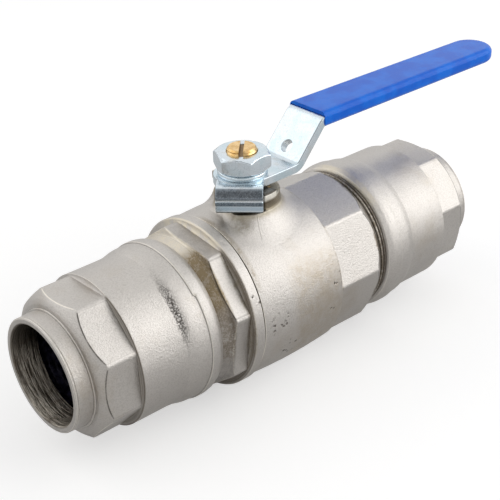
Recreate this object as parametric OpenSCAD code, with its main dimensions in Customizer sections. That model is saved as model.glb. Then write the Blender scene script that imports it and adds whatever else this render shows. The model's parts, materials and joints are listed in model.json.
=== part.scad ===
// Lockable ball valve with a compression nut at each end.
// The pipe runs along X, the stem stands along +Z, and the origin is the centre of the ball.
// The lever lies along +X with the valve open, and turns clockwise by a quarter turn to close.

/* [Pipe and flow] */
// Outside diameter of the plastic pipe that the nuts clamp
pipe_d = 32; // [30:0.5:33]
// Play all round between the pipe and its socket
pipe_gap = 0.5; // [0.3:0.1:0.6]
// Diameter of the straight flow way through cap, ball and body
port_d = 27; // [22:0.5:28]
// Depth of the pipe socket inside each threaded tail
socket_depth = 15; // [12:1:16]

/* [Ball and seats] */
// Diameter of the ball
ball_d = 42; // [40.5:0.5:43]
// Width of the slot in the ball that the stem drives
slot_w = 8.3; // [7:0.1:9]
// Radial width of a seat ring
seat_w = 5.1; // [4:0.1:5.4]
// Thickness of a seat ring behind the rim of the ball's port
seat_back_t = 3.4; // [3:0.1:4.4]
// Gap between the ball and a seat ring
seat_gap = 0.2; // [0.15:0.05:0.3]

/* [Body] */
// Diameter of the barrel at its fullest, and of the cap's collar beside it
barrel_d = 58.6; // [58:0.1:61]
// How much the barrel's radius falls from its middle to its ends
barrel_crown = 0.7; // [0.3:0.1:1]
// Distance from the stem axis to the joint between cap and body
joint_x = 17.2; // [16.5:0.1:18]
// Distance from the stem axis to the end of the barrel
barrel_end_x = 17.6; // [17:0.1:19]
// Distance from the stem axis to the back of the body
body_back_x = 42.2; // [41.4:0.1:44]
// Diameter over the corners of the body's octagon
body_oct_d = 56; // [55:0.2:57.4]
// Distance from the stem axis to the end of the body's octagon, at its corners
body_oct_end_x = 35.4; // [33:0.2:36.4]
// Depth of the ledge round the ball's chamber that the joint seal and the cap's spigot stand on
joint_ledge = 2.6; // [2.2:0.1:3.2]
// Thickness of the sealing ring between cap and body
body_seal_t = 1; // [0.8:0.1:1.5]

/* [End cap] */
// Distance from the stem axis to the front face of the cap
cap_front_x = 31.2; // [31:0.1:33]
// Diameter over the corners of the cap's octagon
cap_oct_d = 56.6; // [55:0.2:58]
// Distance from the stem axis to the front of the cap's octagon
cap_oct_x = 27; // [26.6:0.1:27.6]
// Width of the cap's octagon along the pipe
cap_oct_len = 5.2; // [4:0.1:5.6]
// Depth of the fine groove at the joint
joint_groove = 0.5; // [0.2:0.1:0.8]

/* [Compression nuts] */
// Gap between each nut and the face behind it
nut_gap = 0.3; // [0.3:0.1:1]
// Length of a nut
nut_len = 49.8; // [48.8:0.2:53]
// Diameter of the nut's smooth barrel
nut_barrel_d = 50.5; // [50:0.5:54]
// Diameter of the ridge at the back of the nut
nut_ridge_d = 54; // [53.4:0.1:56]
// Diameter of the nut's back face
nut_back_d = 50; // [49:0.1:51]
// Diameter over the corners of the nut's octagon
nut_oct_d = 49.6; // [48:0.2:50]
// Length of the nut's octagon, measured at its corners
nut_oct_len = 10.3; // [8:0.1:11]
// Outside diameter of the round lip at the mouth
lip_d = 37.4; // [36.6:0.1:38.6]
// Diameter of the thread between nut and tail
tail_thread_d = 45.2; // [44.4:0.2:46]
// Length of each threaded tail
tail_len = 19; // [17:0.5:19]
// Advance of a nut in one turn
thread_pitch = 1.5; // [1:0.5:2]

/* [Pipe clamping rings] */
// Thickness of the rubber pipe seal
seal_cord_d = 4.2; // [3.6:0.1:4.2]
// Thickness of the pressure ring
pressure_ring_t = 2; // [1.5:0.1:2.2]
// Width of the split in a grip ring
grip_split = 3; // [1:0.5:5]
// Number of gripping teeth inside a grip ring
grip_teeth = 7; // [4:1:8]
// Depth of a gripping tooth
grip_tooth_depth = 0.7; // [0.3:0.1:0.9]

/* [Stem and neck] */
// Diameter of the stem's shaft
stem_d = 12; // [11:0.1:12.4]
// Diameter of the stem's thread above the lever
stem_thread_d = 10; // [8:0.5:10]
// Height of the stem's top above the pipe axis
stem_top_z = 48.2; // [47:0.1:52]
// Width of the screwdriver slot in the stem
driver_slot_w = 1.5; // [1:0.1:2]
// Depth of the screwdriver slot
driver_slot_depth = 1.9; // [1:0.1:2.2]
// Diameter of the collar that keeps the stem in
stem_collar_d = 16; // [15:0.2:16.6]
// Height of that collar
stem_collar_h = 2.5; // [2:0.1:3]
// Thickness of the thrust washer above the collar
thrust_washer_t = 0.95; // [0.8:0.05:1.2]
// Running gap all round the stem
stem_gap = 0.06; // [0.03:0.01:0.08]
// Diameter of the round pad under the neck
pad_d = 25.4; // [24.6:0.2:27]
// Height of the pad's top above the pipe axis
pad_z = 31; // [30.6:0.1:31.4]
// Height of the neck's top
neck_z = 34.3; // [33.8:0.1:34.6]
// Diameter of the packing box in the neck
packing_box_d = 17.2; // [16.4:0.1:17.6]
// Height of the packing
packing_h = 3; // [2.5:0.1:3.2]
// Outside radius of the stop lug that the tab rests against with the valve open
near_lug_r = 12.3; // [12:0.1:14]
// Outside radius of the stop lug that the tab meets with the valve closed
far_lug_r = 13.6; // [12:0.1:14]

/* [Lever] */
// Thickness of the lever's steel
steel_t = 3; // [2.5:0.1:3.2]
// Height of the lever's underside at the stem
lever_z = 37; // [36.8:0.1:37.6]
// Radius of the round hub plate
hub_r = 9.5; // [9.2:0.1:10]
// Half width of the arm at the lower bend
arm_half_w = 8.2; // [7.6:0.1:8.6]
// Where the top face turns up, from the stem axis
rise_x = 16.6; // [15.5:0.1:18]
// Length of the rise along X
rise_run = 11.6; // [10:0.1:14]
// Height of the rise
rise_h = 13.1; // [11:0.1:16]
// Inner radius of the two bends in the arm
arm_bend_r = 2.6; // [2:0.1:3]
// Distance from the stem axis to the end of the steel arm
arm_end_x = 118.6; // [100:0.2:140]
// Half width of the steel arm at its end
arm_tip_half_w = 6.8; // [6:0.1:8]
// Half width of the folded stop tab
tab_half_w = 7.2; // [6:0.1:7.3]
// Distance from the stem axis to the tab's inner face
tab_in = 10.2; // [10.2:0.1:10.5]
// Height of the tab's lower edge above the pipe axis
tab_low_z = 32; // [31.6:0.1:33]
// Inner radius of the fold
tab_bend_r = 1.2; // [0.8:0.1:1.4]
// Diameter of the padlock hole in the rise
lock_hole_d = 4.6; // [3:0.1:6]
// Distance of the padlock hole from the lower bend, along the rise
lock_hole_at = 4.2; // [4:0.1:8]

/* [Grip] */
// Wall of the blue sleeve
grip_wall = 1.2; // [0.8:0.1:1.6]
// Rounding of the sleeve's edges
grip_round = 2.1; // [1.4:0.1:2.2]
// Gap between the sleeve's start and the upper bend
grip_start_gap = 0.6; // [0.2:0.1:3]

/* [Lever nut] */
// Width across the flats of the lever's nut
nut_af = 16.6; // [16:0.1:17]
// Height of the lever's nut
nut_h = 5.4; // [4.5:0.1:5.6]
// Outside diameter of the lock washer
washer_d = 16; // [14:0.2:18]
// Thickness of the lock washer
washer_t = 1.5; // [1:0.1:2]

/* [Hidden] */
$fn = 96;

plating = [0.76, 0.73, 0.69];
zinc = [0.75, 0.80, 0.86];
brass = [0.80, 0.63, 0.30];
vinyl_blue = [0.03, 0.27, 0.68];
seat_white = [0.93, 0.93, 0.90];
rubber_black = [0.09, 0.09, 0.10];
ball_chrome = [0.80, 0.82, 0.84];

eps = 0.01;
// Room between a nut's thread and the tail's thread
thread_gap = 0.1;
// Room between pieces that never touch while they turn
turn_gap = 0.3;
socket_r = pipe_d / 2 + pipe_gap;
// The rings behind the mouth stand a little wider than the mouth, so the pipe passes them
ring_in_r = socket_r + 0.3;
port_r = port_d / 2;
ball_r = ball_d / 2;

// Octagons: the corner circle and the turn of the corners that the forging dies gave
oct_sides = 8;
function oct_flat_r(corner_d) = corner_d / 2 * cos(180 / oct_sides);
corner_ease = 0.15;
near_nut_turn = 20.7;
far_nut_turn = 26.9;
cap_oct_turn = 29.5;
body_cone_len = 3.6;
cap_front_r = 24.3;
body_oct_turn = 43;

// Seats and ball chamber
seat_out_r = port_r + seat_w;
seat_back_x = sqrt(ball_r * ball_r - port_r * port_r) + seat_back_t;
// The seats reach from their back over the ball's curve as far as their width does, and a little more
seat_lip = 2.9;
seat_front_x = seat_back_x - seat_back_t - seat_lip;
seat_pocket_gap = 0.1;
seat_pocket_r = seat_out_r + seat_pocket_gap;
chamber_gap = 0.8;
chamber_r = ball_r + chamber_gap;
// The chamber ends, and the cap's spigot with it, where the spigot clears the stem's collar
collar_clear = 1.5;
chamber_end_x = stem_collar_d / 2 + collar_clear;
chamber_cone_len = 2.5;
chamber_cone_x = chamber_end_x + chamber_cone_len;
// The mouth holds the ball back and still lets a seat ring through
mouth_step = 0.5;
chamber_mouth_r = max(ball_r - mouth_step, seat_pocket_r + seat_gap);
joint_thread_r = chamber_r + joint_ledge;

// The cap's spigot ends one sealing ring short of the body's shoulder
spigot_end_x = chamber_end_x;
shoulder_x = spigot_end_x - body_seal_t;

// Stem: heights from the ball upwards
slot_depth = 5;
slot_floor_z = ball_r - slot_depth;
tang_len = 13.5;
tang_gap = 0.15;
collar_low_z = ball_r + turn_gap;
collar_top_z = collar_low_z + stem_collar_h;
washer_gap = 0.05;
web_low_z = collar_top_z + washer_gap + thrust_washer_t;
web_h = 2.6;
box_low_z = web_low_z + web_h;
collar_pocket_gap = 0.2;
follower_t = 1.2;
follower_z = box_low_z + packing_h;
gland_low_z = follower_z + follower_t;
gland_af = 16;
gland_top_z = lever_z - 0.6;
o_ring_cord_d = 1.5;
o_ring_groove_w = 1.7;
o_ring_z = web_low_z + web_h / 2;
stem_r = stem_d / 2;
stem_flat = 4.5;
lever_top_z = lever_z + steel_t;
d_zone_top = lever_top_z;
lever_hole_gap = 0.1;

// The stem's slot, its flats and the lever's stop tab all lie at this angle to the pipe
tab_angle = 225;

// Neck: a full wall on the lever's side, and a slim one where the tab swings
tab_crease_up = 3.9;
slim_neck_r = tab_in - turn_gap;
wall_neck_r = slim_neck_r + 2;
lug_top_z = lever_z - turn_gap;
lug_in_r = gland_af / 2 / cos(30) + 0.4;
// A lug's stop face lies this far from the middle line of the resting tab
stop_at = tab_half_w + turn_gap;
lug_end_angle = 290;
pad_end_angle = 110;
wall_half_angle = 50;

// How much larger a bend's arc is than its true radius, so that it meets the faces cleanly
bend_ease = 0.01;
// Lever: the line of the bend, worked out from run and height of the rise
rise_angle = atan2(rise_h, rise_run);
rise_len = norm([rise_run, rise_h]);
arm_top_z = lever_top_z + rise_h;
arm_x = rise_x + rise_run;

// Grip, taken from the steel that it covers
grip_t = steel_t + 2 * grip_wall;
grip_x = arm_x + grip_start_gap;
grip_end_x = arm_end_x + grip_wall;
grip_mid_z = arm_top_z - steel_t / 2;
// The half width of the steel arm at a distance along X
function arm_half_at(x) = arm_half_w + (arm_tip_half_w - arm_half_w) * (x - rise_x) / (arm_end_x - rise_x);
grip_half_start = arm_half_at(grip_x) + grip_wall - 0.8;
grip_half_end = arm_tip_half_w + grip_wall;

// Compression nut: distances from its back face, outwards
ridge_start = 2.2;
ridge_end = 6;
ridge_step = 0.35;
ridge_foot = 14.3;
foot_len = 3.8;
oct_start = 30;
oct_shoulder = 1;
oct_end = oct_start + nut_oct_len;
nut_flat_r = oct_flat_r(nut_oct_d);
nose_len = 6;
crease_at = nut_len - nose_len;
crease_r = lip_d / 2 + 1.8;
lip_len = 2;
nut_bore_len = 9;
cone_start = tail_len + 2;
cone_end = nut_len - nut_bore_len - 0.6;
thread_r = tail_thread_d / 2;
nut_thread_r = thread_r + thread_gap;
cone_r_start = nut_thread_r - 0.6;
cone_r_end = socket_r + 1.4;
function cone_r(t) = cone_r_start + (cone_r_end - cone_r_start) * (t - cone_start) / (cone_end - cone_start);
seal_mid_r = socket_r + 0.05 + seal_cord_d / 2;
seal_seat_depth = seal_cord_d - 2.4;
ring_start = tail_len - seal_seat_depth + seal_cord_d;
grip_ring_start = ring_start + pressure_ring_t + 0.2;
grip_ring_end = cone_end - 0.2;
grip_cone_gap = 0.15;
tooth_pitch = (grip_ring_end - grip_ring_start - 2) / grip_teeth;

near_nut_x = -(cap_front_x + nut_gap);
far_nut_x = body_back_x + nut_gap;

// A solid turned about X, drawn as points [x, r]
module turned(points)
    rotate([90, 0, 90])
        rotate_extrude()
            polygon([for (p = points) [p[1], p[0]]]);

// A round bar along X from x0 to x1
module bar(r, x0, x1)
    translate([x0, 0, 0])
        rotate([0, 90, 0])
            cylinder(r = r, h = x1 - x0);

// An eight-sided bar along X, with a corner at the given angle from +Y
module oct_bar(corner_d, x0, x1, turn)
    translate([x0, 0, 0])
        rotate([90, 0, 90])
            rotate([0, 0, turn])
                cylinder(r = corner_d / 2, h = x1 - x0, $fn = oct_sides);

// What turns a round bar into an eight-sided one between x0 and x1
module oct_cutter(corner_d, x0, x1, turn)
    difference() {
        bar(corner_d, x0, x1);
        oct_bar(corner_d, x0 - 1, x1 + 1, turn);
    }

// A flat ring about Z
module washer(r_out, r_in, z, t)
    translate([0, 0, z])
        difference() {
            cylinder(r = r_out, h = t);
            translate([0, 0, -eps])
                cylinder(r = r_in, h = t + 2 * eps);
        }

// Puts a piece drawn outwards from a nut's back face at the near or the far end
module at_near() translate([near_nut_x, 0, 0]) mirror([1, 0, 0]) children();
module at_far() translate([far_nut_x, 0, 0]) children();

// Threaded tail with a pipe socket, outwards from the nut's back face.
// start is where it grows out of the wall behind the nut.
module tail(start) {
    relief = 1.2;
    turned([
        [start, 0], [start, thread_r - relief], [2, thread_r - relief],
        [3.2, thread_r], [tail_len - 0.8, thread_r], [tail_len, thread_r - 0.8],
        [tail_len, 0]
    ]);
}

// What is bored out of a tail: pipe socket and seat for the pipe seal
module tail_bore() {
    stop = tail_len - socket_depth;
    bar(socket_r, stop, tail_len + eps);
    bar(seal_mid_r + seal_cord_d / 2 + 0.05, tail_len - seal_seat_depth, tail_len + eps);
}

module nut_outside(turn) {
    ridge_r = nut_ridge_d / 2;
    barrel_r = nut_barrel_d / 2;
    corner_r = nut_oct_d / 2 - corner_ease;
    lip_r = lip_d / 2;
    difference() {
        turned([
            [0, 0], [0, nut_back_d / 2], [0.5, nut_back_d / 2 + 0.9], [ridge_start, ridge_r - 0.3],
            [ridge_start + 1.6, ridge_r], [ridge_end, ridge_r], [ridge_end + 0.1, ridge_r - ridge_step],
            [ridge_foot - foot_len, barrel_r + 1.1], [ridge_foot - 1.2, barrel_r + 0.45],
            [ridge_foot + 2, barrel_r], [oct_start - oct_shoulder, barrel_r], [oct_start, corner_r],
            [oct_end, corner_r], [crease_at, crease_r], [crease_at + 2, lip_r + 1.1],
            [nut_len - lip_len, lip_r + 0.4], [nut_len - 0.5, lip_r], [nut_len, lip_r - 0.4],
            [nut_len, 0]
        ]);
        oct_cutter(nut_oct_d, oct_start, crease_at, turn);
    }
}

module nut_inside()
    turned([
        [-eps, 0], [-eps, nut_thread_r + 0.8], [0.8, nut_thread_r], [cone_start, nut_thread_r],
        [cone_start, cone_r_start], [cone_end, cone_r_end], [cone_end, socket_r],
        [nut_len - 0.5, socket_r], [nut_len + eps, socket_r + 0.5], [nut_len + eps, 0]
    ]);

module compression_nut(turn)
    color(plating)
        difference() {
            nut_outside(turn);
            nut_inside();
        }

// Split ring with saw teeth inside and the nut's cone outside
module grip_ring()
    color(rubber_black)
        difference() {
            turned([
                [grip_ring_start, ring_in_r],
                [grip_ring_start, cone_r(grip_ring_start) - grip_cone_gap],
                [grip_ring_end, cone_r(grip_ring_end) - grip_cone_gap],
                [grip_ring_end, ring_in_r],
                for (i = [grip_teeth - 1 : -1 : 0])
                    each [
                        [grip_ring_start + 1 + (i + 0.9) * tooth_pitch, ring_in_r],
                        [grip_ring_start + 1 + (i + 0.1) * tooth_pitch, ring_in_r + grip_tooth_depth],
                        [grip_ring_start + 1 + i * tooth_pitch, ring_in_r]
                    ]
            ]);
            translate([grip_ring_start - 1, -grip_split / 2, -2 * socket_r])
                cube([grip_ring_end - grip_ring_start + 2, grip_split, 2 * socket_r]);
        }

module pressure_ring()
    color(brass)
        difference() {
            bar(cone_r(ring_start + pressure_ring_t) - 0.3, ring_start, ring_start + pressure_ring_t);
            bar(ring_in_r, ring_start - eps, ring_start + pressure_ring_t + eps);
        }

module pipe_seal()
    color(rubber_black)
        translate([tail_len - seal_seat_depth + seal_cord_d / 2, 0, 0])
            rotate([0, 90, 0])
                rotate_extrude()
                    translate([seal_mid_r, 0])
                        circle(d = seal_cord_d, $fn = 32);

module near_nut() at_near() compression_nut(near_nut_turn);
module far_nut() at_far() compression_nut(far_nut_turn);
module near_grip_ring() at_near() grip_ring();
module far_grip_ring() at_far() grip_ring();
module near_pressure_ring() at_near() pressure_ring();
module far_pressure_ring() at_far() pressure_ring();
module near_pipe_seal() at_near() pipe_seal();
module far_pipe_seal() at_far() pipe_seal();

module end_cap() {
    collar_r = barrel_d / 2;
    flat_r = oct_flat_r(cap_oct_d);
    corner_r = cap_oct_d / 2 - corner_ease;
    oct_front = -cap_oct_x;
    oct_back = oct_front + cap_oct_len;
    color(plating)
        difference() {
            union() {
                difference() {
                    turned([
                        [-cap_front_x, 0], [-cap_front_x, cap_front_r], [oct_front, flat_r - 0.3],
                        [oct_front, corner_r], [oct_back, corner_r], [oct_back + 0.8, collar_r],
                        [-joint_x - 0.4, collar_r], [-joint_x, collar_r - joint_groove],
                        [-joint_x, joint_thread_r - thread_gap],
                        [-spigot_end_x, joint_thread_r - thread_gap], [-spigot_end_x, 0]
                    ]);
                    oct_cutter(cap_oct_d, oct_front - 0.5, oct_back, cap_oct_turn);
                }
                at_near() tail(-nut_gap - 0.5);
            }
            at_near() tail_bore();
            bar(port_r, -cap_front_x - tail_len, 0);
            bar(seat_pocket_r, -seat_back_x, 0);
            turned([
                [-chamber_cone_x, 0], [-chamber_cone_x, seat_pocket_r - eps],
                [-spigot_end_x, chamber_mouth_r], [0, chamber_mouth_r], [0, 0]
            ]);
        }
}

// The forging's outside without its neck
module body_outside() {
    end_r = barrel_d / 2 - barrel_crown;
    corner_r = body_oct_d / 2 - corner_ease;
    // Turned rings between the octagon and the far nut
    ring_x = body_oct_end_x + body_cone_len;
    ring_r = oct_flat_r(body_oct_d) - 0.3;
    groove_r = ring_r - 1;
    // Radius of the long arc that crowns the barrel
    crown_r = (joint_x * joint_x + barrel_crown * barrel_crown) / (2 * barrel_crown);
    rotate([90, 0, 90])
        rotate_extrude()
            intersection() {
                translate([barrel_d / 2 - crown_r, 0])
                    circle(r = crown_r, $fn = 720);
                translate([0, -joint_x])
                    square([barrel_d, joint_x + barrel_end_x]);
            }
    difference() {
        turned([
            [barrel_end_x - 1, 0], [barrel_end_x - 1, end_r], [barrel_end_x, end_r],
            [barrel_end_x + 0.8, corner_r], [body_oct_end_x, corner_r], [ring_x, ring_r],
            [ring_x + 0.3, groove_r], [ring_x + 1.1, groove_r], [ring_x + 1.3, ring_r - 0.4],
            [ring_x + 1.9, ring_r - 0.4], [ring_x + 2.1, groove_r], [body_back_x - 0.7, groove_r],
            [body_back_x - 0.5, ring_r - 0.5], [body_back_x, ring_r - 0.5], [body_back_x, 0]
        ]);
        oct_cutter(body_oct_d, barrel_end_x + 0.8, ring_x + 0.2, body_oct_turn);
    }
}

// The side of the neck that lies beyond the stop face, seen from the resting tab
module beyond_stop()
    rotate([0, 0, tab_angle])
        translate([0, stop_at, 0])
            cube([2 * far_lug_r, 2 * far_lug_r, lug_top_z]);

// Stop lug on the side where the resting tab stands. Its stop face is parallel to the tab's end.
module stop_lug(r)
    intersection() {
        washer(r, lug_in_r, neck_z - 0.4, lug_top_z - neck_z + 0.4);
        beyond_stop();
        rotate([0, 0, lug_end_angle])
            translate([0, -2 * r, 0])
                cube([2 * r, 2 * r, lug_top_z]);
    }

// A wedge about Z between two angles less than 180 degrees apart
module wedge(a0, a1, r, z, h)
    translate([0, 0, z])
        linear_extrude(h)
            polygon([
                [0, 0], 2 * r * [cos(a0), sin(a0)],
                3 * r * [cos((a0 + a1) / 2), sin((a0 + a1) / 2)], 2 * r * [cos(a1), sin(a1)]
            ]);

// Pad and neck around the stem, with the neck slim where the tab swings
module neck() {
    base_z = ball_r;
    difference() {
        translate([0, 0, base_z])
            cylinder(d = pad_d, h = pad_z - base_z);
        wedge(pad_end_angle, 315 - pad_end_angle, pad_d, base_z - 1, pad_z);
    }
    translate([0, 0, base_z])
        cylinder(r = slim_neck_r, h = neck_z - base_z);
    intersection() {
        translate([0, 0, base_z])
            cylinder(r = wall_neck_r, h = neck_z - base_z);
        union() {
            wedge(-wall_half_angle, wall_half_angle, wall_neck_r, 0, neck_z);
            beyond_stop();
            mirror([0, 1, 0]) beyond_stop();
        }
    }
    stop_lug(near_lug_r);
    mirror([0, 1, 0]) stop_lug(far_lug_r);
}

module valve_body()
    color(plating)
        difference() {
            union() {
                body_outside();
                neck();
                at_far() tail(body_back_x - far_nut_x - 0.5);
            }
            // Joint thread, ball chamber, seat pocket and flow way
            bar(joint_thread_r, -joint_x - eps, -shoulder_x);
            bar(chamber_r, -joint_x - eps, chamber_end_x);
            turned([
                [chamber_end_x - eps, 0], [chamber_end_x - eps, chamber_mouth_r],
                [chamber_cone_x, seat_pocket_r], [seat_back_x, seat_pocket_r], [seat_back_x, 0]
            ]);
            bar(port_r, 0, body_back_x + tail_len);
            at_far() tail_bore();
            // Stem pocket, stem bore and packing box
            cylinder(r = stem_collar_d / 2 + collar_pocket_gap, h = web_low_z);
            cylinder(r = stem_r + stem_gap, h = neck_z + eps);
            translate([0, 0, box_low_z])
                cylinder(d = packing_box_d, h = neck_z);
        }

module ball()
    color(ball_chrome)
        difference() {
            sphere(r = ball_r, $fn = 128);
            bar(port_r, -ball_r, ball_r);
            translate([-slot_w / 2, -ball_r, slot_floor_z])
                cube([slot_w, 2 * ball_r, ball_r]);
        }

module seat()
    color(seat_white)
        difference() {
            bar(seat_out_r, seat_front_x, seat_back_x);
            bar(port_r, 0, seat_back_x + eps);
            sphere(r = ball_r + seat_gap, $fn = 128);
        }

module far_seat() seat();
module near_seat() mirror([1, 0, 0]) seat();

module body_seal()
    color(seat_white)
        difference() {
            bar(joint_thread_r - thread_gap, -spigot_end_x, -shoulder_x);
            bar(chamber_r + thread_gap, -spigot_end_x - eps, -shoulder_x + eps);
        }

module stem()
    color(brass)
        difference() {
            union() {
                translate([-slot_w / 2 + tang_gap, -tang_len / 2, slot_floor_z + turn_gap])
                    cube([slot_w - 2 * tang_gap, tang_len, collar_low_z - slot_floor_z]);
                translate([0, 0, collar_low_z])
                    cylinder(d = stem_collar_d, h = stem_collar_h);
                translate([0, 0, collar_low_z])
                    cylinder(r = stem_r, h = lever_z - collar_low_z);
                intersection() {
                    translate([0, 0, lever_z - eps])
                        cylinder(r = stem_r, h = d_zone_top - lever_z + eps);
                    rotate([0, 0, tab_angle])
                        translate([-stem_d, -stem_flat, lever_z - eps])
                            cube([2 * stem_d, 2 * stem_flat, steel_t]);
                }
                translate([0, 0, lever_z])
                    cylinder(d = stem_thread_d - 1, h = stem_top_z - 1.2 - lever_z);
                translate([0, 0, d_zone_top])
                    cylinder(d = stem_thread_d, h = stem_top_z - 0.8 - d_zone_top);
                translate([0, 0, stem_top_z - 0.8])
                    cylinder(d1 = stem_thread_d, d2 = stem_thread_d - 1.6, h = 0.8);
            }
            rotate([0, 0, tab_angle])
                translate([-stem_d, -driver_slot_w / 2, stem_top_z - driver_slot_depth])
                    cube([2 * stem_d, driver_slot_w, stem_d]);
            washer(stem_d, stem_r - o_ring_cord_d - 0.02, o_ring_z - o_ring_groove_w / 2, o_ring_groove_w);
        }

module stem_thrust_washer()
    color(seat_white)
        washer(stem_collar_d / 2 + 0.1, stem_r + stem_gap, collar_top_z + washer_gap, thrust_washer_t);

module stem_o_ring()
    color(rubber_black)
        translate([0, 0, o_ring_z])
            rotate_extrude()
                translate([stem_r - o_ring_cord_d / 2, 0])
                    circle(d = o_ring_cord_d, $fn = 32);

module stem_packing()
    color(seat_white)
        washer(packing_box_d / 2 - 0.05, stem_r + stem_gap, box_low_z, packing_h);

module packing_follower()
    color(brass)
        washer(packing_box_d / 2 - 0.05, stem_r + stem_gap, follower_z, follower_t);

module gland_nut()
    color(brass)
        difference() {
            union() {
                translate([0, 0, gland_low_z])
                    cylinder(d = packing_box_d - 0.1, h = neck_z - gland_low_z + 0.5);
                translate([0, 0, neck_z])
                    cylinder(r = gland_af / 2 / cos(30), h = gland_top_z - neck_z, $fn = 6);
            }
            cylinder(r = stem_r + stem_gap, h = lever_z);
        }

// Side view of the lever's steel, drawn in X and Z: hub, rise and arm, with round bends
module lever_side() {
    half = tan(rise_angle / 2);
    inner = arm_bend_r;
    outer = arm_bend_r + steel_t;
    along = [cos(rise_angle), sin(rise_angle)];
    low = [rise_x, lever_top_z];
    high = [arm_x, arm_top_z];
    under = steel_t * [half, -1];
    low_centre = low + inner * [-half, 1];
    high_centre = high + outer * [half, -1];
    difference() {
        union() {
            polygon([
                [-2 * hub_r, lever_top_z], low, high, [arm_end_x, arm_top_z],
                [arm_end_x, arm_top_z - steel_t], high + under, low + under, [-2 * hub_r, lever_z]
            ]);
            bend_corner(low, low - [inner * half, 0], low + inner * half * along, low_centre, inner);
            bend_corner(high + under, high + under - inner * half * along,
                high + under + [inner * half, 0], high_centre, inner);
        }
        bend_corner(low + under, low + under - [outer * half, 0],
            low + under + outer * half * along, low_centre, outer);
        bend_corner(high, high - outer * half * along, high + [outer * half, 0], high_centre, outer);
    }
}

// What lies between a sharp corner and the arc that rounds it, with a little beyond the corner
module bend_corner(corner, before, after, centre, r)
    difference() {
        polygon([corner + 0.1 * (corner - centre), before, centre, after]);
        translate(centre)
            circle(r = r + bend_ease);
    }

// A piece of a flat ring between two angles less than 180 degrees apart
module bend_ring(centre, inner, outer, a0, a1)
    translate(centre)
        intersection() {
            difference() {
                circle(r = outer);
                circle(r = inner);
            }
            polygon([
                [0, 0], 2 * outer * [cos(a0), sin(a0)],
                3 * outer * [cos((a0 + a1) / 2), sin((a0 + a1) / 2)], 2 * outer * [cos(a1), sin(a1)]
            ]);
        }

// The lever seen from above, without the tab
module lever_plan() {
    hub_half_w = arm_half_w + 0.3;
    tip_r = arm_tip_half_w;
    intersection() {
        circle(r = hub_r);
        square([4 * hub_r, 2 * hub_half_w], center = true);
    }
    polygon([
        [0, -hub_half_w], [rise_x, -arm_half_w], [arm_end_x - tip_r, -tip_r],
        [arm_end_x - tip_r, tip_r], [rise_x, arm_half_w], [0, hub_half_w]
    ]);
    translate([arm_end_x - tip_r, 0])
        circle(r = tip_r);
}

// Stop tab: a tongue of the hub folded down, drawn outwards along X
module tab() {
    inner = tab_bend_r;
    outer = tab_bend_r + steel_t;
    fold_x = tab_in - inner;
    crease_z = tab_low_z + tab_crease_up;
    crease_w = 0.9;
    crease_depth = 0.45;
    difference() {
        translate([0, tab_half_w, 0])
            rotate([90, 0, 0])
                linear_extrude(2 * tab_half_w) {
                    translate([0, lever_z])
                        square([fold_x, steel_t]);
                    bend_ring([fold_x, lever_z - inner], inner, outer, 0, 90);
                    translate([tab_in, tab_low_z])
                        square([steel_t, lever_z - inner - tab_low_z]);
                }
        translate([tab_in + steel_t - crease_depth, -tab_half_w - eps, crease_z - crease_w / 2])
            cube([steel_t, 2 * tab_half_w + 2 * eps, crease_w]);
        cylinder(r = stem_r, h = 2 * lever_z);
    }
}

// The bent strip from hub to tip
module lever_strip()
    intersection() {
        translate([0, arm_half_w + hub_r, 0])
            rotate([90, 0, 0])
                linear_extrude(2 * (arm_half_w + hub_r))
                    lever_side();
        linear_extrude(2 * arm_top_z)
            lever_plan();
    }

module lever()
    color(zinc)
        difference() {
            union() {
                lever_strip();
                rotate([0, 0, tab_angle])
                    tab();
            }
            // Hole with two flats for the stem
            intersection() {
                translate([0, 0, lever_z - 1])
                    cylinder(r = stem_r + lever_hole_gap, h = steel_t + 2);
                rotate([0, 0, tab_angle])
                    translate([-stem_d, -stem_flat - lever_hole_gap, lever_z - 1])
                        cube([2 * stem_d, 2 * (stem_flat + lever_hole_gap), steel_t + 2]);
            }
            // Padlock hole, square to the rise
            translate([rise_x, 0, lever_top_z])
                rotate([0, -rise_angle, 0])
                    translate([lock_hole_at, 0, -2 * steel_t])
                        cylinder(d = lock_hole_d, h = 4 * steel_t, $fn = 48);
        }

// A slab seen from above as a tapered bar with a round end
module grip_slab(inset, t)
    translate([0, 0, grip_mid_z - t / 2])
        linear_extrude(t) {
            tip_x = grip_end_x - grip_half_end;
            polygon([
                [grip_x, -grip_half_start + inset], [tip_x, -grip_half_end + inset],
                [tip_x, grip_half_end - inset], [grip_x, grip_half_start - inset]
            ]);
            translate([tip_x, 0])
                circle(r = grip_half_end - inset);
        }

// Round bars along the four long edges, and half rings round the tip
module grip_edges() {
    tip_x = grip_end_x - grip_half_end;
    edge_z = grip_t / 2 - grip_round;
    edge_turn = atan2(grip_half_end - grip_half_start, tip_x - grip_x);
    edge_len = norm([tip_x - grip_x, grip_half_end - grip_half_start]);
    // A shade fuller than the slabs, so that the round edges cross them cleanly
    edge_r = grip_round + 0.01;
    for (side = [-1, 1])
        for (level = [-1, 1])
            translate([tip_x, side * (grip_half_end - grip_round), grip_mid_z + level * edge_z])
                rotate([0, 0, side * edge_turn])
                    rotate([0, -90, 0])
                        cylinder(r = edge_r, h = edge_len, $fn = 48);
    for (level = [-1, 1])
        translate([tip_x, 0, grip_mid_z + level * edge_z])
            rotate_extrude()
                translate([grip_half_end - grip_round, 0])
                    circle(r = edge_r, $fn = 48);
}

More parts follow.
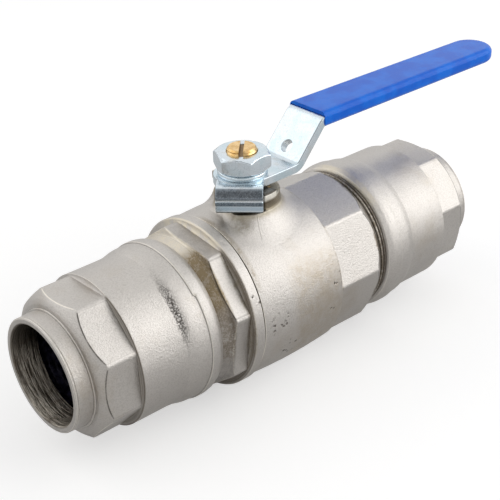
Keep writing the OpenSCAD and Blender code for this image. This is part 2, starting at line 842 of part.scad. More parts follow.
// The steel arm inside the grip, with the inner curve of its upper bend cut straight
module grip_cavity() {
    half = tan(rise_angle / 2);
    along = [cos(rise_angle), sin(rise_angle)];
    high = [arm_x, arm_top_z];
    corner = high + steel_t * [half, -1];
    intersection() {
        translate([0, 2 * arm_half_w, 0])
            rotate([90, 0, 0])
                linear_extrude(4 * arm_half_w)
                    polygon([
                        high - steel_t * along, high, [arm_end_x + 1, arm_top_z],
                        [arm_end_x + 1, arm_top_z - steel_t], corner + [arm_bend_r * half, 0],
                        corner - arm_bend_r * half * along, corner - steel_t * along
                    ]);
        linear_extrude(2 * arm_top_z)
            lever_plan();
    }
}

module grip()
    color(vinyl_blue)
        difference() {
            union() {
                grip_slab(grip_round, grip_t);
                grip_slab(0, grip_t - 2 * grip_round);
                grip_edges();
            }
            grip_cavity();
        }

module lock_washer()
    color(zinc)
        difference() {
            washer(washer_d / 2, stem_thread_d / 2 + 0.2, lever_top_z, washer_t);
            rotate([0, 0, tab_angle + 28])
                translate([0, -0.6, lever_top_z - eps])
                    cube([washer_d, 1.2, washer_t + 2 * eps]);
        }

// Hexagon nut with turned corners above and below
module handle_nut() {
    corner_r = nut_af / 2 / cos(30);
    base_z = lever_top_z + washer_t;
    face_r = nut_af / 2 * 0.96;
    // The turning cone runs on past the corners
    past_r = corner_r + 1;
    cut = (past_r - face_r) * tan(30);
    color(zinc)
        difference() {
            intersection() {
                translate([0, 0, base_z])
                    rotate([0, 0, 6])
                        cylinder(r = corner_r, h = nut_h, $fn = 6);
                rotate_extrude()
                    polygon([
                        [0, base_z], [face_r, base_z], [past_r, base_z + cut],
                        [past_r, base_z + nut_h - cut], [face_r, base_z + nut_h], [0, base_z + nut_h]
                    ]);
            }
            translate([0, 0, base_z - eps])
                cylinder(d = stem_thread_d + 0.04, h = nut_h + 2 * eps);
        }
}

valve_body();
end_cap();
near_nut();
far_nut();
near_grip_ring();
far_grip_ring();
near_pressure_ring();
far_pressure_ring();
near_pipe_seal();
far_pipe_seal();
ball();
near_seat();
far_seat();
body_seal();
stem();
stem_thrust_washer();
stem_o_ring();
stem_packing();
packing_follower();
gland_nut();
lever();
grip();
lock_washer();
handle_nut();
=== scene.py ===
import bpy
import bmesh
import json
import math
import numpy as np
from mathutils import Matrix, Vector

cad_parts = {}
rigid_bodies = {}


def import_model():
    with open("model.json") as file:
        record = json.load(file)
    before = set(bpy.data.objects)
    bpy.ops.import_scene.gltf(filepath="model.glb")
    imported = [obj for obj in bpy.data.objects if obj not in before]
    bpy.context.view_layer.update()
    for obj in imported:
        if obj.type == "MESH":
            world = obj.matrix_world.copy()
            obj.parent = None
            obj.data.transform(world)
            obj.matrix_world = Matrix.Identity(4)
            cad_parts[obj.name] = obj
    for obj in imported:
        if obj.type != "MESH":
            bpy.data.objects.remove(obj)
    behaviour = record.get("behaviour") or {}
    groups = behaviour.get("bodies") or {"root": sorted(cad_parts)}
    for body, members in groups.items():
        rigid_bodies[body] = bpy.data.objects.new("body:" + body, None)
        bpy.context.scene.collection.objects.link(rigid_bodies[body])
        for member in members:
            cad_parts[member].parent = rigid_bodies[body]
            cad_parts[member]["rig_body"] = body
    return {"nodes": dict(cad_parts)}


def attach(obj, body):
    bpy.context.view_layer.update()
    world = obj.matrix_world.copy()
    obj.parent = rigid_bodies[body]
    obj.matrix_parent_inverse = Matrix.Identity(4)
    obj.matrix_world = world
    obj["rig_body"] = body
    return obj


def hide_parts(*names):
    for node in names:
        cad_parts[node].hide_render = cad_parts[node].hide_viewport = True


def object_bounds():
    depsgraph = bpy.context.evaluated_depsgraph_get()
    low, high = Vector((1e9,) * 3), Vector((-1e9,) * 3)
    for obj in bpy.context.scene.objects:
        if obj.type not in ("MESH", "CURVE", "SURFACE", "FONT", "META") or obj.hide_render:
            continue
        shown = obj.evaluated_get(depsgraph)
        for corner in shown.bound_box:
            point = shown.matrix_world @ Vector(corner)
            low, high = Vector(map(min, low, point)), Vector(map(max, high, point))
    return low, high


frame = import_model()
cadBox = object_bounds()
nodes = frame["nodes"]
print("frame loaded:", len(nodes), "nodes")


# Helpers for material nodes

def newFinish(name):
    # empty material with its tree, its surface shader and the object coordinates
    finish = bpy.data.materials.new(name)
    finish.use_nodes = True
    tree = finish.node_tree
    place = tree.nodes.new("ShaderNodeTexCoord").outputs["Object"]
    return finish, tree, tree.nodes["Principled BSDF"], place


def join(tree, source, target):
    # a socket is linked, and a plain value is set
    if isinstance(source, bpy.types.NodeSocket):
        tree.links.new(source, target)
    else:
        target.default_value = source


def maths(tree, operation, a, b=0.0, c=None):
    node = tree.nodes.new("ShaderNodeMath")
    node.operation = operation
    join(tree, a, node.inputs[0])
    join(tree, b, node.inputs[1])
    if c is not None:
        join(tree, c, node.inputs[2])
    return node.outputs[0]


def turnedPlace(tree, place, centre=(0, 0, 0), turn=(0, 0, 0), scale=(1, 1, 1)):
    node = tree.nodes.new("ShaderNodeMapping")
    node.inputs["Location"].default_value = centre
    node.inputs["Rotation"].default_value = turn
    node.inputs["Scale"].default_value = scale
    join(tree, place, node.inputs["Vector"])
    return node.outputs[0]


def noise(tree, place, perMetre, detail=3.0, roughness=0.55, distortion=0.0):
    node = tree.nodes.new("ShaderNodeTexNoise")
    node.inputs["Scale"].default_value = perMetre
    node.inputs["Detail"].default_value = detail
    node.inputs["Roughness"].default_value = roughness
    node.inputs["Distortion"].default_value = distortion
    join(tree, place, node.inputs["Vector"])
    return node.outputs["Fac"]


def ramp(tree, value, low, high, toLow=0.0, toHigh=1.0):
    # smooth step from toLow to toHigh while the value goes from low to high
    node = tree.nodes.new("ShaderNodeMapRange")
    node.interpolation_type = "SMOOTHSTEP"
    join(tree, value, node.inputs["Value"])
    for socket, number in (("From Min", low), ("From Max", high), ("To Min", toLow), ("To Max", toHigh)):
        node.inputs[socket].default_value = number
    return node.outputs["Result"]


def band(tree, value, low, high, soft):
    # 1 between low and high, fading over soft on both sides
    up = ramp(tree, value, low - soft, low + soft)
    down = ramp(tree, value, high - soft, high + soft, 1.0, 0.0)
    return maths(tree, "MULTIPLY", up, down)


def blend(tree, factor, a, b):
    node = tree.nodes.new("ShaderNodeMix")
    node.data_type = "RGBA"
    join(tree, factor, node.inputs["Factor"])
    for source, target in ((a, node.inputs[6]), (b, node.inputs[7])):
        join(tree, (*source, 1.0) if isinstance(source, tuple) else source, target)
    return node.outputs[2]


def bumps(tree, shader, layers):
    # each layer is (height, strength, distance in metres); they stack onto the shader's normal
    normal = None
    for height, strength, distance in layers:
        node = tree.nodes.new("ShaderNodeBump")
        node.inputs["Strength"].default_value = strength
        node.inputs["Distance"].default_value = distance
        join(tree, height, node.inputs["Height"])
        if normal:
            join(tree, normal, node.inputs["Normal"])
        normal = node.outputs["Normal"]
    join(tree, normal, shader.inputs["Normal"])


def product(tree, *factors):
    result = factors[0]
    for factor in factors[1:]:
        result = maths(tree, "MULTIPLY", result, factor)
    return result


def axisParts(tree, place):
    # the three coordinates, the distance from the pipe's axis, and the angle about it from +Y towards +Z, 0 to 2 pi
    parts = tree.nodes.new("ShaderNodeSeparateXYZ")
    join(tree, place, parts.inputs[0])
    x, y, z = parts.outputs
    square = maths(tree, "ADD", maths(tree, "MULTIPLY", y, y), maths(tree, "MULTIPLY", z, z))
    angle = maths(tree, "SUBTRACT", math.pi, maths(tree, "ARCTAN2", z, maths(tree, "MULTIPLY", y, -1.0)))
    return x, y, z, maths(tree, "SQRT", square), angle


def spot(tree, place, centre, core, reach):
    # 1 within core of the centre, fading to 0 at reach
    away = tree.nodes.new("ShaderNodeVectorMath")
    away.operation = "DISTANCE"
    join(tree, place, away.inputs[0])
    away.inputs[1].default_value = centre
    return ramp(tree, away.outputs["Value"], core, reach, 1.0, 0.0)


# Nickel-plated brass: coarse forging grain, stains, brass tint where the plating is thin, and painted highlight,
# painted shade and painted shadow on edges, in corners, round the neck and in bands round the pipe

nickel = {
    "pale": (0.595, 0.566, 0.533),
    "dull": (0.494, 0.466, 0.436),
    "stain": (0.42, 0.355, 0.270),
    "olive": (0.25, 0.195, 0.120),
    "highlightCream": (0.66, 0.60, 0.49),
    "brown": (0.20, 0.165, 0.125),
    "greyShade": (0.36, 0.335, 0.315),
    "wall": (0.15, 0.125, 0.095),
    "scuff": (0.16, 0.145, 0.130),
    "dark": (0.055, 0.047, 0.038),
    "wornAndLit": (0.88, 0.83, 0.74),
    "edgeHighlightAndWear": 0.75,
    "edgeShade": 0.80,
    "grainPerMetre": 1900.0,
    "grainDepth": 0.00034,
    "roughness": (0.28, 0.44),
}


def nickelFinish(name, tintsAndPaintedLight=(), darkBands=(), scuffs=(), walls=(), pits=(), shadeSpots=(), seams=(), neck=False, innerRadius=None):
    # darkBands: low X, high X, softness, amount; scuffs: the same and low and high angle; tints, brass tint with
    # painted highlight and painted shade: the same and a colour;
    # walls, painted shade over turned rings: low X, high X, amount, low angle; pits and painted shade spots: centre,
    # reach; seams: X at angle 0, X a radian, angles, half width
    finish, tree, shader, place = newFinish(name)
    x, y, z, radius, angle = axisParts(tree, place)
    grain = noise(tree, place, nickel["grainPerMetre"], 5.0, 0.68)
    fine = noise(tree, turnedPlace(tree, place, (0.3, 0.1, 0.2)), 3300.0, 3.0, 0.6)
    rough = noise(tree, place, 2300.0, 1.5, 0.5)
    cloud = noise(tree, place, 110.0, 4.0, 0.6)
    blot = noise(tree, turnedPlace(tree, place, (0.013, 0.02, 0.01)), 42.0, 5.0, 0.68)
    patch = noise(tree, turnedPlace(tree, place, (0.5, 0.2, 0.7)), 330.0, 4.0, 0.7)

    colour = blend(tree, ramp(tree, grain, 0.34, 0.60), nickel["dull"], nickel["pale"])
    colour = blend(tree, ramp(tree, cloud, 0.50, 0.74, 0.0, 0.22), colour, nickel["dull"])
    colour = blend(tree, product(tree, ramp(tree, blot, 0.52, 0.76), ramp(tree, patch, 0.35, 0.65, 0.25, 0.50)), colour, nickel["stain"])
    # edge marks: outer edges lighter, a painted highlight with some wear; inner corners and the marked octagon edges
    # darker further on, a painted shade
    edge = tree.nodes.new("ShaderNodeAttribute")
    edge.attribute_name = "edgeMark"
    colour = blend(tree, ramp(tree, edge.outputs["Fac"], 0.35, 0.95, 0.0, nickel["edgeHighlightAndWear"]), colour, nickel["wornAndLit"])
    along = maths(tree, "ADD", x, maths(tree, "MULTIPLY_ADD", patch, 0.0018, -0.0009))
    speckle = ramp(tree, maths(tree, "MULTIPLY_ADD", grain, 0.55, maths(tree, "MULTIPLY", patch, 0.45)), 0.40, 0.58)
    # bands along and round the pipe: brass tint, painted highlight on the tops and painted shade further round
    for low, high, soft, amount, start, end, shade in tintsAndPaintedLight:
        mask = product(tree, band(tree, along, low, high, soft), maths(tree, "MULTIPLY_ADD", speckle, 0.55, amount - 0.30))
        colour = blend(tree, product(tree, mask, band(tree, angle, start, end, 0.14)), colour, shade)
    # the walls before the octagon's flats, darkened from their angle on as a painted shade, over turned rings
    for low, high, amount, start in walls:
        ring = tree.nodes.new("ShaderNodeCombineXYZ")
        join(tree, radius, ring.inputs[0])
        ring = ramp(tree, noise(tree, ring.outputs[0], 1900.0, 2.0, 0.6), 0.40, 0.56, amount * 0.45, amount)
        mask = product(tree, band(tree, x, low, high, 0.00005), ramp(tree, angle, start - 0.04, start + 0.04), ring)
        colour = blend(tree, mask, colour, nickel["wall"])
    layers = [(cloud, 0.25, 0.0006), (grain, 0.60, nickel["grainDepth"]), (fine, 0.30, 0.00012)]
    for low, high, soft, amount, start, end in scuffs:
        mask = product(tree, band(tree, along, low, high, soft), band(tree, angle, start, end, 0.22), ramp(tree, rough, 0.47, 0.58, 0.05, amount))
        colour = blend(tree, mask, colour, nickel["scuff"])
        layers.append((product(tree, mask, grain), 0.9, 0.0012))
    # painted shade in inner corners and along the marked octagon edges
    paintedShade = maths(tree, "MULTIPLY", ramp(tree, edge.outputs["Fac"], -0.85, -0.20, nickel["edgeShade"], 0.0), ramp(tree, patch, 0.30, 0.55, 0.55, 1.0))
    colour = blend(tree, paintedShade, colour, nickel["dark"])
    # painted shade spots: the lever tab's painted shadow on the body, painted shade in the near nut's nick
    for centre, reach in shadeSpots:
        mask = product(tree, spot(tree, place, centre, reach * 0.25, reach), ramp(tree, patch, 0.34, 0.60, 0.20, 0.62))
        colour = blend(tree, mask, colour, (0.17, 0.145, 0.095))
    # painted light on the neck: brownish painted shade over it, darker painted shade on the wall under the lugs, a
    # painted highlight on the near lug's face, and a painted shadow line under the lever's edge
    if neck:
        x2, y2 = maths(tree, "MULTIPLY", x, x), maths(tree, "MULTIPLY", y, y)
        fromStem = maths(tree, "SQRT", maths(tree, "ADD", x2, y2))
        near = ramp(tree, fromStem, 0.0125, 0.0148, 1.0, 0.0)
        colour = blend(tree, product(tree, ramp(tree, z, 0.0285, 0.0305), near, ramp(tree, patch, 0.3, 0.6, 0.35, 0.70)), colour, (0.36, 0.31, 0.215))
        colour = blend(tree, product(tree, band(tree, z, 0.0312, 0.0339, 0.0003), near, 0.75), colour, (0.15, 0.12, 0.075))
        paintedLugHighlight = product(tree, band(tree, z, 0.0345, 0.0372, 0.0002), ramp(tree, y, -0.0085, -0.0075, 1.0, 0.0), ramp(tree, fine, 0.3, 0.6, 0.95, 0.75))
        colour = blend(tree, paintedLugHighlight, colour, (0.93, 0.90, 0.82))
        # painted shadow of the lever's edge along the top of the near lug
        colour = blend(tree, product(tree, ramp(tree, z, 0.03620, 0.03635), ramp(tree, y, -0.0085, -0.0075, 0.95, 0.0)), colour, nickel["dark"])
    for low, high, soft, amount in darkBands:
        colour = blend(tree, product(tree, band(tree, x, low, high, soft), amount), colour, nickel["dark"])
    for start, slant, low, high, half in seams:
        offset = maths(tree, "SUBTRACT", x, maths(tree, "MULTIPLY_ADD", angle, slant, start))
        line = product(tree, band(tree, offset, -half, half, 0.00008), band(tree, angle, low, high, 0.03), ramp(tree, z, 0.0, 0.004))
        colour = blend(tree, maths(tree, "MULTIPLY", line, 0.40), colour, (0.16, 0.14, 0.11))
        layers.append((maths(tree, "MULTIPLY", line, -1.0), 0.5, 0.0002))

    if pits:
        cells = tree.nodes.new("ShaderNodeTexVoronoi")
        cells.inputs["Scale"].default_value = 560.0
        join(tree, place, cells.inputs["Vector"])
        hole = ramp(tree, cells.outputs["Distance"], 0.24, 0.40, 1.0, 0.0)
        spots = None
        for centre, reach in pits:
            near = spot(tree, place, centre, reach * 0.5, reach)
            spots = near if spots is None else maths(tree, "MAXIMUM", spots, near)
        hole = product(tree, hole, ramp(tree, patch, 0.46, 0.56), spots)
        colour = blend(tree, maths(tree, "MULTIPLY", hole, 0.9), colour, (0.075, 0.058, 0.040))
        layers.append((maths(tree, "MULTIPLY", hole, -1.0), 0.9, 0.0003))

    if innerRadius:
        # inside the mouth: painted dark as shade, with bright turned rings that fade into painted shade towards the top
        inside = ramp(tree, radius, innerRadius + 0.0002, innerRadius + 0.0006, 1.0, 0.0)
        rings = noise(tree, turnedPlace(tree, place, scale=(1.0, 0.06, 0.06)), 1250.0, 3.0, 0.75)
        rings = ramp(tree, rings, 0.36, 0.64)
        rings = product(tree, rings, ramp(tree, z, -0.0060, 0.0040, 1.0, 0.22))
        bore = blend(tree, rings, (0.105, 0.090, 0.072), (0.56, 0.51, 0.44))
        bore = blend(tree, ramp(tree, patch, 0.48, 0.68, 0.0, 0.6), bore, (0.13, 0.10, 0.075))
        colour = blend(tree, inside, colour, bore)
        layers.append((product(tree, rings, inside), 0.7, 0.0004))
        turned = noise(tree, turnedPlace(tree, place, (0.4, 0.0, 0.0), scale=(1.0, 0.02, 0.02)), 2100.0, 2.0, 0.6)
        lip = product(tree, ramp(tree, radius, 0.0186, 0.0192, 1.0, 0.0), maths(tree, "SUBTRACT", 1.0, inside))
        layers.append((product(tree, turned, lip), 0.5, 0.00016))

    join(tree, colour, shader.inputs["Base Color"])
    shader.inputs["Metallic"].default_value = 1.0
    join(tree, ramp(tree, grain, 0.32, 0.66, *nickel["roughness"]), shader.inputs["Roughness"])
    bumps(tree, shader, layers)
    return finish


bodyFinish = nickelFinish(
    "plated_forging_body",
    # brass brown before the far nut and olive at the octagon's step, brass tint with painted shade in those recesses; a
    # blotchy stain on the barrel's front; olive beside the cap's joint on top
    tintsAndPaintedLight=[
        (0.0378, 0.0430, 0.0005, 0.75, -1, 8, nickel["brown"]), (0.0174, 0.0186, 0.0004, 0.35, -1, 8, nickel["olive"]),
        (-0.0030, 0.0170, 0.0030, 0.40, 2.55, 3.80, nickel["stain"]),
        (-0.0168, -0.0150, 0.0006, 0.40, 1.5, 2.6, nickel["olive"]),
    ],
    darkBands=[(-0.0176, -0.01674, 0.00005, 0.97), (0.0389, 0.0399, 0.0002, 0.55), (0.0413, 0.0419, 0.0002, 0.6)],
    pits=[
        ((-0.0117, -0.0292, 0.0007), 0.0060), ((-0.0051, -0.0271, -0.0110), 0.0050),
        ((0.0153, -0.0284, 0.0058), 0.0036), ((0.0128, -0.0288, -0.0038), 0.0022),
    ],
    # the lever tab's painted shadow on the barrel
    shadeSpots=[((-0.0100, -0.0102, 0.0284), 0.0052)],
    seams=[(0.01283, -0.00905, 1.86, 2.17, 0.00010)],
    neck=True,
)
capFinish = nickelFinish(
    "plated_forging_cap",
    # round the cone: painted highlight in cream on top, then olive, brown and grey as painted shade further round and
    # down, over a brass tint; grey painted shade on the octagon's top facet; painted highlight in cream on the ridge's
    # top; olive painted shade with brass tint on the ridge's front
    tintsAndPaintedLight=[
        (-0.0318, -0.0270, 0.0005, 0.75, 0.9, 1.90, nickel["highlightCream"]), (-0.0318, -0.0270, 0.0005, 0.92, 1.85, 2.75, nickel["olive"]),
        (-0.0318, -0.0270, 0.0005, 0.62, 2.65, 3.45, nickel["brown"]), (-0.0318, -0.0270, 0.0005, 0.60, 3.4, 4.6, nickel["greyShade"]),
        (-0.0268, -0.0217, 0.0003, 0.55, 1.32, 2.08, nickel["greyShade"]), (-0.0216, -0.0208, 0.0002, 0.85, 1.0, 2.05, nickel["highlightCream"]),
        (-0.0224, -0.0208, 0.0004, 0.40, 2.1, 3.4, nickel["olive"]),
    ],
    darkBands=[(-0.01735, -0.0160, 0.00006, 0.97)],
    # the octagon's front wall, painted shade over turned rings
    walls=[(-0.02175, -0.02115, 0.85, 2.06)],
    pits=[((-0.0150, -0.0279, 0.0087), 0.0034), ((-0.0182, -0.0262, 0.0130), 0.0038)],
)
nearNutFinish = nickelFinish(
    "plated_near_nut",
    scuffs=[(-0.0458, -0.0438, 0.0005, 0.80, 2.20, 2.72), (-0.0454, -0.0430, 0.0010, 0.30, 1.95, 2.85)],
    # the wall before the octagon's flats, painted shade over turned rings
    walls=[(-0.06185, -0.06135, 0.70, 1.93)],
    # painted shade in the nick
    shadeSpots=[((-0.0370, -0.0198, 0.0184), 0.0010)],
    innerRadius=0.0166,
)
farNutFinish = nickelFinish(
    "plated_far_nut",
    # painted highlight in cream on top of the nut's back
    tintsAndPaintedLight=[(0.0424, 0.0446, 0.0004, 0.70, 1.2, 2.3, nickel["highlightCream"])],
    innerRadius=0.0166,
)


# Bright zinc with a thin film of colour, for the lever, its nut and its washer; painted shade on the lever's rounded
# edges and painted reflection bands on its tab

zinc = {
    "pale": (0.70, 0.765, 0.815),
    "teal": (0.44, 0.62, 0.68),
    "straw": (0.60, 0.57, 0.50),
    "grey": (0.33, 0.35, 0.37),
    "roughness": (0.16, 0.30),
}


def zincFinish(name, tealAmount, seed, paintedLightBands=()):
    # bands of painted reflection and painted shade: low and high height, softness, colour, amount
    finish, tree, shader, place = newFinish(name)
    _, _, z, _, _ = axisParts(tree, place)
    film = noise(tree, turnedPlace(tree, place, (seed, 0.3 * seed, 0.0)), 150.0, 3.0, 0.5, 0.6)
    fine = noise(tree, place, 1900.0, 4.0, 0.65)
    drawn = noise(tree, turnedPlace(tree, place, scale=(0.12, 1.0, 1.0)), 1400.0, 3.0, 0.6)
    colour = blend(tree, ramp(tree, film, 0.44, 0.68, 0.0, tealAmount), zinc["pale"], zinc["teal"])
    colour = blend(tree, ramp(tree, film, 0.30, 0.44, 0.30, 0.0), colour, zinc["straw"])
    colour = blend(tree, ramp(tree, fine, 0.52, 0.72, 0.0, 0.40), colour, zinc["grey"])
    # the strip's rounded edges painted darker grey, a painted shade
    edge = tree.nodes.new("ShaderNodeAttribute")
    edge.attribute_name = "edgeMark"
    colour = blend(tree, ramp(tree, edge.outputs["Fac"], 0.3, 0.9, 0.0, 0.60), colour, zinc["grey"])
    for low, high, soft, shade, amount in paintedLightBands:
        mask = product(tree, band(tree, z, low, high, soft), ramp(tree, fine, 0.30, 0.60, amount, amount * 0.78))
        colour = blend(tree, mask, colour, shade)
    join(tree, colour, shader.inputs["Base Color"])
    shader.inputs["Metallic"].default_value = 1.0
    join(tree, ramp(tree, fine, 0.35, 0.70, *zinc["roughness"]), shader.inputs["Roughness"])
    bumps(tree, shader, [(film, 0.15, 0.0005), (drawn, 0.20, 0.00007), (fine, 0.3, 0.00008)])
    return finish


leverFinish = zincFinish("zinc_lever", 0.36, 0.02)
# the tab's painted reflections: dark over the fold, a light line at the crease, a dark band under it, a pale blue band,
# and dark at the foot
tabFinish = zincFinish("zinc_tab", 0.30, 0.03, paintedLightBands=[
    (0.0364, 0.0395, 0.0002, (0.060, 0.072, 0.090), 0.93),
    (0.0357, 0.0363, 0.0001, (0.75, 0.79, 0.82), 0.70), (0.0344, 0.0356, 0.0001, (0.035, 0.055, 0.080), 0.92),
    (0.0329, 0.0342, 0.0002, (0.36, 0.48, 0.58), 0.70),
    (0.0300, 0.0325, 0.0001, (0.030, 0.045, 0.050), 0.92),
])
leverNutFinish = zincFinish("zinc_lever_nut", 0.32, 0.05)
washerFinish = zincFinish("zinc_washer", 0.35, 0.08)


# Blue vinyl dipped over the arm

vinyl = {"deep": (0.001, 0.118, 0.66), "light": (0.002, 0.162, 0.76), "roughness": 0.15}


def vinylFinish():
    finish, tree, shader, place = newFinish("blue_vinyl")
    cloud = noise(tree, place, 160.0, 3.0, 0.5)
    skin = noise(tree, place, 900.0, 2.0, 0.5)
    runs = noise(tree, turnedPlace(tree, place, scale=(0.25, 1.0, 1.0)), 330.0, 2.0, 0.5)
    colour = blend(tree, ramp(tree, cloud, 0.35, 0.65), vinyl["deep"], vinyl["light"])
    join(tree, colour, shader.inputs["Base Color"])
    join(tree, ramp(tree, skin, 0.35, 0.65, vinyl["roughness"], vinyl["roughness"] + 0.10), shader.inputs["Roughness"])
    shader.inputs["Specular IOR Level"].default_value = 0.20
    bumps(tree, shader, [(runs, 0.10, 0.0006), (skin, 0.07, 0.0002)])
    return finish


gripFinish = vinylFinish()


# Bare brass, chrome, seat plastic and rubber

def brassFinish(name, pale, deep, roughLow, roughHigh, slot=None):
    # slot: half width, the height below which the slot is painted dark as shade, and its colour
    finish, tree, shader, place = newFinish(name)
    cloud = noise(tree, place, 420.0, 4.0, 0.6)
    turned = noise(tree, turnedPlace(tree, place, scale=(0.08, 0.08, 1.0)), 3200.0, 2.0, 0.6)
    colour = blend(tree, ramp(tree, cloud, 0.32, 0.70), deep, pale)
    if slot:
        x, y, z, _, _ = axisParts(tree, place)
        across = maths(tree, "MULTIPLY", maths(tree, "SUBTRACT", x, y), 0.7071)
        # the slot's lower part painted dark, a painted shade
        paintedShade = product(tree, band(tree, across, -slot[0], slot[0], 0.00004), ramp(tree, z, slot[1] - 0.0003, slot[1], 0.92, 0.0))
        colour = blend(tree, paintedShade, colour, slot[2])
    join(tree, colour, shader.inputs["Base Color"])
    shader.inputs["Metallic"].default_value = 1.0
    join(tree, ramp(tree, cloud, 0.3, 0.7, roughLow, roughHigh), shader.inputs["Roughness"])
    bumps(tree, shader, [(turned, 0.25, 0.00008), (cloud, 0.15, 0.0001)])
    return finish


def softFinish(name, pale, deep, roughness, perMetre):
    finish, tree, shader, place = newFinish(name)
    cloud = noise(tree, place, perMetre, 4.0, 0.6)
    join(tree, blend(tree, ramp(tree, cloud, 0.35, 0.68), deep, pale), shader.inputs["Base Color"])
    shader.inputs["Roughness"].default_value = roughness
    bumps(tree, shader, [(cloud, 0.25, 0.0001)])
    return finish


# the stem's slot painted dark towards its bottom, a painted shade
stemFinish = brassFinish("stem_brass", (0.90, 0.65, 0.33), (0.66, 0.41, 0.15), 0.20, 0.36, (0.00074, 0.0489, (0.15, 0.085, 0.030)))
# dark brass, kept dark as a painted shade for the gland seen under the lever
glandFinish = brassFinish("gland_brass", (0.30, 0.22, 0.12), (0.13, 0.09, 0.05), 0.34, 0.50)
ballFinish = brassFinish("ball_chrome", (0.62, 0.63, 0.64), (0.48, 0.49, 0.50), 0.06, 0.14)
# dark steel with pale blue-violet patches, a painted sheen
gripRingSheenFinish = brassFinish("grip_ring_dark_steel_painted_sheen", (0.085, 0.080, 0.125), (0.012, 0.012, 0.015), 0.26, 0.44)
seatFinish = softFinish("seat_plastic", (0.78, 0.77, 0.73), (0.70, 0.68, 0.63), 0.42, 260.0)
rubberFinish = softFinish("seal_rubber", (0.020, 0.020, 0.021), (0.009, 0.009, 0.010), 0.55, 700.0)
print("finishes made")


# Turned and forged shells: a profile of distance along the pipe and radius, carried round the pipe's axis

mm = 0.001
outsideFrom = 18.2  # mm from the pipe's axis: nothing that is seen from outside lies nearer
insideEvery = 5.0


def softProfile(points, soft, spacing):
    # each corner becomes a short curve through (1-t)^2 A + 2t(1-t) P + t^2 B, with A and B on its two sides;
    # a point may give its own softness after its distance and radius. The third column marks the corners:
    # up to 1 where the edge sticks out, down to -1 where it lies in
    corners = np.array([point[:2] for point in points], float)
    soft = np.array([point[2] if len(point) > 2 else soft for point in points])[:, None]
    before, after = np.roll(corners, 1, 0), np.roll(corners, -1, 0)
    toBefore, toAfter = before - corners, after - corners
    lengthBefore = np.linalg.norm(toBefore, axis=1, keepdims=True)
    lengthAfter = np.linalg.norm(toAfter, axis=1, keepdims=True)
    reach = np.minimum(np.minimum(lengthBefore, lengthAfter) * 0.42, soft)
    a = corners + toBefore / lengthBefore * reach
    b = corners + toAfter / lengthAfter * reach
    t = np.linspace(0.0, 1.0, 4)[None, :, None]
    curve = (1 - t) ** 2 * a[:, None] + 2 * t * (1 - t) * corners[:, None] + t ** 2 * b[:, None]
    area = np.sum(corners[:, 0] * after[:, 1] - after[:, 0] * corners[:, 1])
    bendSine = (toAfter[:, 0] * toBefore[:, 1] - toAfter[:, 1] * toBefore[:, 0]) / (lengthBefore * lengthAfter)[:, 0] * np.sign(area)
    mark = np.sign(bendSine) * np.clip((np.abs(bendSine) - 0.25) * 2.0, 0, 1)
    # the middle of a curve is only kept where it bends on the outside
    kept = np.ones(curve.shape[:2], bool)
    kept[:, 1:3] = ((np.abs(bendSine) > 0.08) & (corners[:, 1] > outsideFrom))[:, None]
    loop = np.concatenate([curve, (mark[:, None] * np.array([0.2, 1.0, 1.0, 0.2]))[:, :, None]], -1)[kept]
    step = np.linalg.norm(np.roll(loop, -1, 0)[:, :2] - loop[:, :2], axis=1)
    parts = np.maximum(1, np.ceil(step / spacing(loop))).astype(int)
    start = np.repeat(loop, parts, axis=0)
    span = np.repeat(np.roll(loop, -1, 0) - loop, parts, axis=0)
    count = np.arange(parts.sum()) - np.repeat(np.cumsum(parts) - parts, parts)
    return start + span * (count / np.repeat(parts, parts))[:, None]


def gridMesh(points, closedRows=True, closedColumns=True, marks=None):
    # points is rows x columns x 3 in millimetres; neighbours are joined into quads
    rows, columns = points.shape[:2]
    index = np.arange(rows * columns).reshape(rows, columns)
    down = np.roll(index, -1, 0) if closedRows else index[1:]
    here = index if closedRows else index[:-1]
    quads = np.stack([here, down, np.roll(down, -1, 1), np.roll(here, -1, 1)], -1)
    if not closedColumns:
        quads = quads[:, :-1]
    marks = np.zeros((rows, columns)) if marks is None else marks
    return points.reshape(-1, 3) * mm, quads.reshape(-1, 4), marks.ravel()


def makePiece(name, parts, body, replaced, finish):
    # parts is a list of (points, quads, edge marks); they go into one mesh, merged where they touch, faces outwards
    mesh = bpy.data.meshes.new(name)
    offsets = np.cumsum([0] + [len(part[0]) for part in parts])
    points = np.concatenate([part[0] for part in parts])
    quads = np.concatenate([part[1] + offset for part, offset in zip(parts, offsets)])
    mesh.vertices.add(len(points))
    mesh.vertices.foreach_set("co", points.astype(np.float32).ravel())
    mesh.loops.add(quads.size)
    mesh.loops.foreach_set("vertex_index", quads.astype(np.int32).ravel())
    mesh.polygons.add(len(quads))
    mesh.polygons.foreach_set("loop_start", np.arange(0, quads.size, 4, dtype=np.int32))
    mesh.polygons.foreach_set("use_smooth", np.ones(len(quads), bool))
    edgeMark = mesh.attributes.new("edgeMark", "FLOAT", "POINT")
    edgeMark.data.foreach_set("value", np.concatenate([part[2] for part in parts]).astype(np.float32))
    mesh.update(calc_edges=True)
    shape = bmesh.new()
    shape.from_mesh(mesh)
    bmesh.ops.remove_doubles(shape, verts=shape.verts, dist=1e-6)
    bmesh.ops.recalc_face_normals(shape, faces=shape.faces)
    shape.to_mesh(mesh)
    shape.free()
    mesh.materials.append(finish)
    piece = bpy.data.objects.new(name, mesh)
    bpy.context.scene.collection.objects.link(piece)
    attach(piece, body)
    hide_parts(replaced)
    return piece


def forgedWaves(x, angle, seed, amount):
    # low uneven forging swell: a sum of eight waves along and about the pipe, each whole turns about it
    dice = np.random.default_rng(seed)
    swell = np.zeros(np.broadcast(x, angle).shape)
    for turns in (1, 2, 2, 3, 4, 5, 7, 9):
        length = dice.uniform(7.0, 26.0)
        swell = swell + dice.uniform(0.4, 1.0) * np.sin(turns * angle + 2 * math.pi * x / length + dice.uniform(0, 6.28))
    return swell * amount / 4.0


